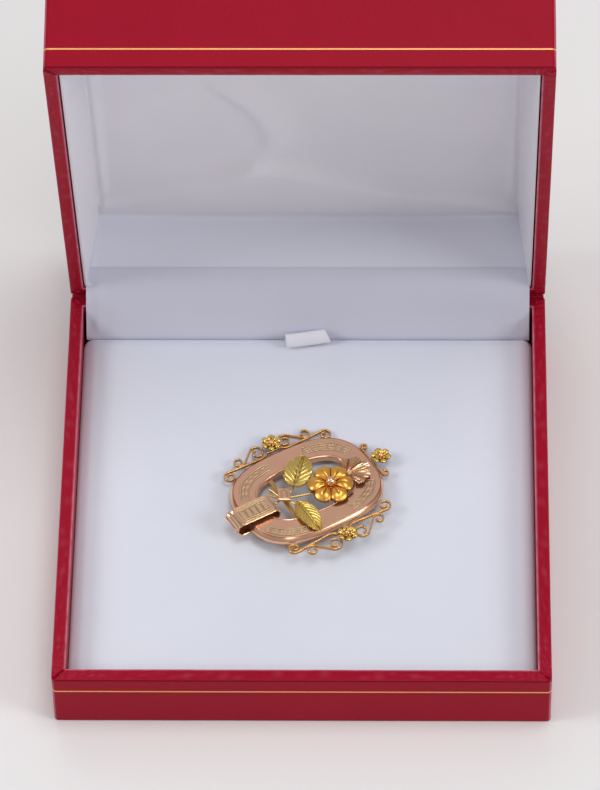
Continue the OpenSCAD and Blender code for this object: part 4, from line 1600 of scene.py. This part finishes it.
def leaf(metal, long, wide, early, fold, arch, veins, slope, notch, notches, heart):
    """A veined leaf from its stem along +X, with a notched edge, and its painted shade between the veins,
    beside the midrib and on its underside. Its base reaches back beside the stem by heart."""
    steps, half_across = 120, 20
    painted_shades, rows = [], []
    for i in range(steps + 1):
        f = i / steps
        saw = (f * notches) % 1
        bite = 1 + notch * (saw - 0.5) * step(0, 0.1, f) * step(1, 0.93, f)
        half = (0.12 + wide * math.sin(math.pi * f**early) ** 0.62) if 0 < f < 1 else 0.1
        top, dark = [], []
        for k in range(-half_across, half_across + 1):
            v = k / half_across
            edge = abs(v)
            reach = half * v * mix(1, bite, edge**3)
            slant = (f - slope * edge) * veins
            ridge = hump((slant % 1) - 0.5, 0.11) * step(0.02, 0.2, edge)
            ridge = ridge * step(0.02, 0.1, f) * step(1, 0.9, f)
            rib = hump(v, 0.06)
            h = arch * math.sin(math.pi * f) + fold * edge**0.7 - 0.9 * fold * edge**4
            h += 0.24 * ridge + 0.24 * rib - 0.12 * hump(edge - 0.11, 0.06) + 0.22 * hump(edge - 0.95, 0.07)
            top.append(Vector((long * (f - heart * edge * edge * (1 - f) ** 2), reach, h)))
            dark.append(min(1, 0.35 * (1 - ridge) * step(0.02, 0.2, edge) + 0.7 * hump(edge - 0.12, 0.06)))
        under = [p - Vector((0, 0, metal)) for p in reversed(top)]
        rows.append(top + under)
        painted_shades += dark + [0.7] * len(under)
    return Shape().solid(rows), painted_shades


# The green gold leaves: [piece, node, place, turn in degrees, shape], and the shape as leaf takes it:
# [length, half width, how early it is widest, fold, arch, veins, slope, notch, notches, heart]
LEAVES = [
    ("broad_leaf", "upper_leaf", (-2.2, 2, 0.75), 45, (9.4, 3.4, 0.72, 0.55, 0.6, 6, 0.42, 0.16, 4, 0.12)),
    ("long_leaf", "lower_leaf", (-4.6, -3, 0.5), -91, (11.4, 2.4, 0.85, 0.45, 0.5, 9, 0.34, 0.1, 14, -0.05)),
]


def leaf_piece(name, shape, painted_shades, at, turn, material, node):
    place = on_pad() @ Matrix.Translation(at) @ Matrix.Rotation(math.radians(turn), 4, "Z")
    mesh = tidy_mesh(shape.plain(name, painted_shades), place, 50)
    piece(name, mesh, material, "box", [node])


class BROOCH_OT_leaves(bpy.types.Operator):
    """Makes the two green gold leaves and the rose gold fan leaf."""

    bl_idname = "brooch.leaves"
    bl_label = "Leaves"

    def execute(self, context):
        metal = brooch_sizes().leaf_metal / MM
        for name, node, at, turn, form in LEAVES:
            shape, painted_shades = leaf(metal, *form)
            leaf_piece(name, shape, painted_shades, at, turn, gold("green_gold"), node)

        lobes, spread, steps, sides = 5, 84, 24, 250
        rows, painted_shades = [], []
        for i in range(sides + 1):
            a = mix(spread, -spread, i / sides)
            lobe = abs(math.cos(math.radians(90 * lobes * a / spread)))
            rib = abs(math.cos(math.radians(90 * 5 * lobes * a / spread)))
            edge = (6.4 - 1.9 * (abs(a) / spread) ** 1.6) * (0.86 + 0.14 * lobe**0.5)
            top, dark = [], []
            for k in range(steps + 1):
                f = k / steps
                d = mix(0.5, edge, f)
                h = 0.25 + 0.55 * lobe * math.sin(math.radians(150 * f)) + 0.15 * f
                h += 0.2 * rib**6 * step(0.05, 0.4, f) - 0.16 * lobe**30 * step(0.9, 0.6, f)
                top.append(Vector((d * math.cos(math.radians(a)), d * math.sin(math.radians(a)), h)))
                # Painted shade between the lobes and the ribs, along each lobe's middle, and on the underside
                dark.append(min(1, 0.6 * (1 - lobe) ** 2 + 0.3 * (1 - rib**3) + 0.25 * lobe**30))
            under = [p - Vector((0, 0, metal)) for p in reversed(top)]
            rows.append(top + under)
            painted_shades += dark + [0.8] * len(under)
        shape = Shape().solid(rows)
        at = (10.2, -1.9, 0.45)
        leaf_piece("fan_leaf", shape, painted_shades, at, 0, gold("strap_gold"), "rose_leaf")
        return {"FINISHED"}


# Curls of the scrolls, to the right of their flower: inner, middle and outer
TOP_CURLS = [(4, 17.6), (9.3, 17.1), (13.65, 14.05)]
BOTTOM_CURLS = [(4, 18.4), (9.5, 17.3), (13.1, 14.35)]
CURL_R = (1.8, 1.4, 1.45)
CURL_WIND = 410


def curl(centre, radius, way, start, wind):
    """Points of the wire as it winds in from start, in degrees, round a centre."""
    points = []
    for k in range(1, 41):
        g = k / 40
        r = radius * (1 - 0.62 * max(0, (g - 0.25) / 0.75))
        t = math.radians(start + way * wind * g)
        points.append(Vector((centre[0] + r * math.cos(t), centre[1] + r * math.sin(t))))
    return points


def scroll(first, last, wind_first, wind_last):
    """A wire that winds out of the first curl, runs straight and winds into the last.
    A curl is (centre, radius, way), where way is 1 to the left and -1 to the right."""
    (c1, r1, w1), (c2, r2, w2) = first, last
    d = Vector(c2) - Vector(c1)
    way = math.atan2(d.y, d.x) - math.asin((w2 * r2 - w1 * r1) / d.length)
    left = Vector((-math.sin(way), math.cos(way)))
    p1, p2 = Vector(c1) - w1 * r1 * left, Vector(c2) - w2 * r2 * left
    a1 = math.degrees(math.atan2(p1.y - c1[1], p1.x - c1[0]))
    a2 = math.degrees(math.atan2(p2.y - c2[1], p2.x - c2[0]))
    out = curl(c1, r1, -w1, a1, wind_first) if wind_first > 1 else []
    return [*reversed(out), p1, p2, *curl(c2, r2, w2, a2, wind_last)]


def side_scrolls(curls):
    """The two wires to the right of a group's flower."""
    inner, middle, outer = curls
    bar_centre = (inner[0] + 0.1, inner[1] + 0.4)
    bar_r = inner[1] + 0.4 - BUCKLE[1] - 0.6
    first = scroll((inner, CURL_R[0], -1), (middle, CURL_R[1], 1), CURL_WIND, CURL_WIND - 60)
    turns = [math.radians(a) for a in range(215, 261, 9)]
    x, y = bar_centre
    start = [Vector((x + bar_r * math.cos(t), y + bar_r * math.sin(t))) for t in turns]
    return [first, start + scroll((bar_centre, bar_r, 1), (outer, CURL_R[2], -1), 1, CURL_WIND)]


def group_scrolls(curls, turn=0, shift=0, flip=1):
    """All the wires of a long group, on both sides of its flower."""
    made = []
    place = Matrix.Translation((shift, 0, 0)) @ Matrix.Rotation(math.radians(turn), 4, "Z")
    level = -BUCKLE_H + brooch_sizes().wire_height / MM / 2
    for side in (1, -1):
        for path in side_scrolls(curls):
            made.append([place @ Vector((side * p.x, flip * p.y, level)) for p in path])
    made.append([place @ Vector((x, flip * 16.1, level)) for x in (-2.4, 0, 2.4)])
    return made


class BROOCH_OT_scrolls(bpy.types.Operator):
    """Makes the flat wire scrolls at the top, the bottom and the end."""

    bl_idname = "brooch.scrolls"
    bl_label = "Scrolls"

    def execute(self, context):
        sizes = brooch_sizes()
        wide, high = sizes.wire_width / MM, sizes.wire_height / MM
        level = -BUCKLE_H + high / 2
        end = scroll(((19.75, 5), 0.85, 1), ((19.75, -5), 0.85, 1), 400, 400)
        groups = {
            "top_scrolls": group_scrolls(TOP_CURLS),
            "bottom_scrolls": group_scrolls(BOTTOM_CURLS, 1.5, 0.4, -1),
            "end_scrolls": [[Vector((p.x, p.y + 0.3, level)) for p in end]],
        }
        for node, paths in groups.items():
            mesh = wire_mesh(node + "_wire", paths, wide, high, gold("copper_gold"), 0.13, on_pad())
            # The wire's sides are painted dark, as the shade and dark reflections under it
            mark_painted_shade(mesh, [0.9 * (1 - step(-0.1, 0.5, vertex.normal.z)) for vertex in mesh.vertices])
            piece(node + "_wire", mesh, gold("copper_gold"), "box", [node])
        return {"FINISHED"}


# The small flowers on the scrolls: [node, place, turn in degrees]
SMALL_FLOWERS = [
    ("top", (0.4, 17.8, -0.75), 0),
    ("bottom", (0.85, -18, -0.75), 10),
    ("end", (21.3, -0.2, -0.75), 20),
]


class BROOCH_OT_small_flowers(bpy.types.Operator):
    """Makes the small cupped flowers on the scrolls, each with its ball."""

    bl_idname = "brooch.small_flowers"
    bl_label = "Small flowers"

    def execute(self, context):
        long = brooch_sizes().small_flower / MM
        for seed, (name, at, turn) in enumerate(SMALL_FLOWERS):
            place = on_pad() @ Matrix.Translation(at)
            shape, painted_shades = petal(long, 0.3, 0.36 * long, 0.5, 0.2, 0.6, 14, 14)
            mesh = petal_ring(
                name + "_petals", shape, painted_shades, 6, math.radians(turn), seed, gold("lemon_gold"), place
            )
            piece(name + "_petals", mesh, gold("lemon_gold"), "box", [name + "_flower"])
            shape, painted_shades = petal(0.6 * long, 0.3, 0.2 * long, 0.3, 0.1, 0.6, 10, 10)
            inner = place @ Matrix.Translation((0, 0, 0.3))
            mesh = petal_ring(
                name + "_inner_petals", shape, painted_shades, 6, math.radians(turn + 30), seed,
                gold("lemon_gold"), inner,
            )
            piece(name + "_inner_petals", mesh, gold("lemon_gold"))
            mesh = bead((0, 0, 0.6), 0.6, 24).mesh("ball", place)
            piece(name + "_bead", mesh, gold("strap_gold"), "box", [name + "_ball"])
        return {"FINISHED"}


class BROOCH_OT_pin(bpy.types.Operator):
    """Gives the pin behind the buckle its gold."""

    bl_idname = "brooch.pin"
    bl_label = "Pin"

    def execute(self, context):
        carried("pin_back", gold("copper_gold"))
        return {"FINISHED"}


# The stage


def soft_light(name, at, size, watts, target=(0, 0, 0.02)):
    """A large soft light that faces the object."""
    lamp = bpy.data.lights.new(name, "AREA")
    lamp.shape = "DISK"
    lamp.size = size
    lamp.energy = watts
    made = linked(name, lamp)
    made.location = at
    made.rotation_euler = (Vector(target) - Vector(at)).to_track_quat("-Z", "Y").to_euler()
    return made


FLOOR_HALF = 3
WORLD_STRENGTH = 0.31
# The soft lights: [name, place, diameter, watts], in metres
LIGHTS = [
    ("overhead", (0.2, 0.04, 1.3), 0.6, 3.8),
    ("back", (-0.2, 1.1, 1.1), 1, 2.8),
    ("left", (-0.98, -0.18, 0.78), 0.5, 4.2),
    ("right", (0.98, -0.42, 0.68), 0.5, 4),
    ("front", (0.2, -1, 0.95), 0.4, 1.3),
]


class BROOCH_OT_stage(bpy.types.Operator):
    """Sets the pale floor, the soft light and the camera."""

    bl_idname = "brooch.stage"
    bl_label = "Stage"

    def execute(self, context):
        scene = context.scene
        scene.view_settings.view_transform = "Standard"
        way = Vector(CAMERA_WAY).normalized()
        right = way.cross(Vector((0, 0, 1))).normalized()
        up = right.cross(way)
        roll = math.radians(CAMERA_ROLL)
        across = right * math.cos(roll) + up * math.sin(roll)
        upright = up * math.cos(roll) - right * math.sin(roll)
        place = Matrix((across, upright, -way)).transposed().to_4x4()
        place.translation = Vector(CAMERA_AT) * MM
        lens = bpy.data.cameras.new("camera")
        lens.lens = CAMERA_LENS
        lens.sensor_width = 36
        lens.clip_start = 0.01
        camera = linked("camera", lens)
        camera.matrix_world = place
        scene.camera = camera

        floor_mesh = bpy.data.meshes.new("floor")
        corners = [(FLOOR_HALF * x, FLOOR_HALF * y, 0) for x, y in CORNERS]
        floor_mesh.from_pydata(corners, [], [(0, 1, 2, 3)])
        floor = linked("floor", floor_mesh)
        material, tree, shader, place = new_material("Pale floor")
        slow = clouds(tree, place, 3, 2)
        tree.links.new(
            mix_colours(tree, slow, (0.87, 0.86, 0.86), (0.89, 0.88, 0.885)), shader.inputs["Base Color"]
        )
        shader.inputs["Roughness"].default_value = 0.6
        floor_mesh.materials.append(material)

        world = bpy.data.worlds.new("studio")
        world.use_nodes = True
        sky = world.node_tree.nodes["Background"].inputs
        sky["Color"].default_value = (1, 0.985, 0.99, 1)
        sky["Strength"].default_value = WORLD_STRENGTH
        scene.world = world
        for light in LIGHTS:
            soft_light(*light)
        return {"FINISHED"}


MAKERS = (
    BROOCH_OT_stage,
    BROOCH_OT_tray,
    BROOCH_OT_lid,
    BROOCH_OT_hinge,
    BROOCH_OT_pad,
    BROOCH_OT_lining,
    BROOCH_OT_apron,
    BROOCH_OT_ribbon,
    BROOCH_OT_buckle,
    BROOCH_OT_strap,
    BROOCH_OT_stems,
    BROOCH_OT_flower,
    BROOCH_OT_leaves,
    BROOCH_OT_scrolls,
    BROOCH_OT_small_flowers,
    BROOCH_OT_pin,
)


class VIEW3D_PT_brooch(bpy.types.Panel):
    """The brooch's sizes, colours and pieces in the sidebar."""

    bl_label = "Flower brooch"
    bl_space_type = "VIEW_3D"
    bl_region_type = "UI"
    bl_category = "Brooch"

    def draw(self, context):
        for group in (box_sizes(), brooch_sizes(), finishes()):
            column = self.layout.column(align=True)
            for name in group.__annotations__:
                column.prop(group, name)
        for maker in MAKERS:
            self.layout.operator(maker.bl_idname)


CLASSES = (BoxSizes, BroochSizes, Finishes, *MAKERS, VIEW3D_PT_brooch)


def register():
    for cls in CLASSES:
        bpy.utils.register_class(cls)
    bpy.types.Scene.gift_box_sizes = PointerProperty(type=BoxSizes)
    bpy.types.Scene.brooch_sizes = PointerProperty(type=BroochSizes)
    bpy.types.Scene.brooch_finishes = PointerProperty(type=Finishes)


def unregister():
    del bpy.types.Scene.brooch_finishes
    del bpy.types.Scene.brooch_sizes
    del bpy.types.Scene.gift_box_sizes
    for cls in reversed(CLASSES):
        bpy.utils.unregister_class(cls)


def main():
    """Makes every piece."""
    register()
    for maker in MAKERS:
        group, name = maker.bl_idname.split(".")
        getattr(getattr(bpy.ops, group), name)()


if __name__ == "__main__":
    main()
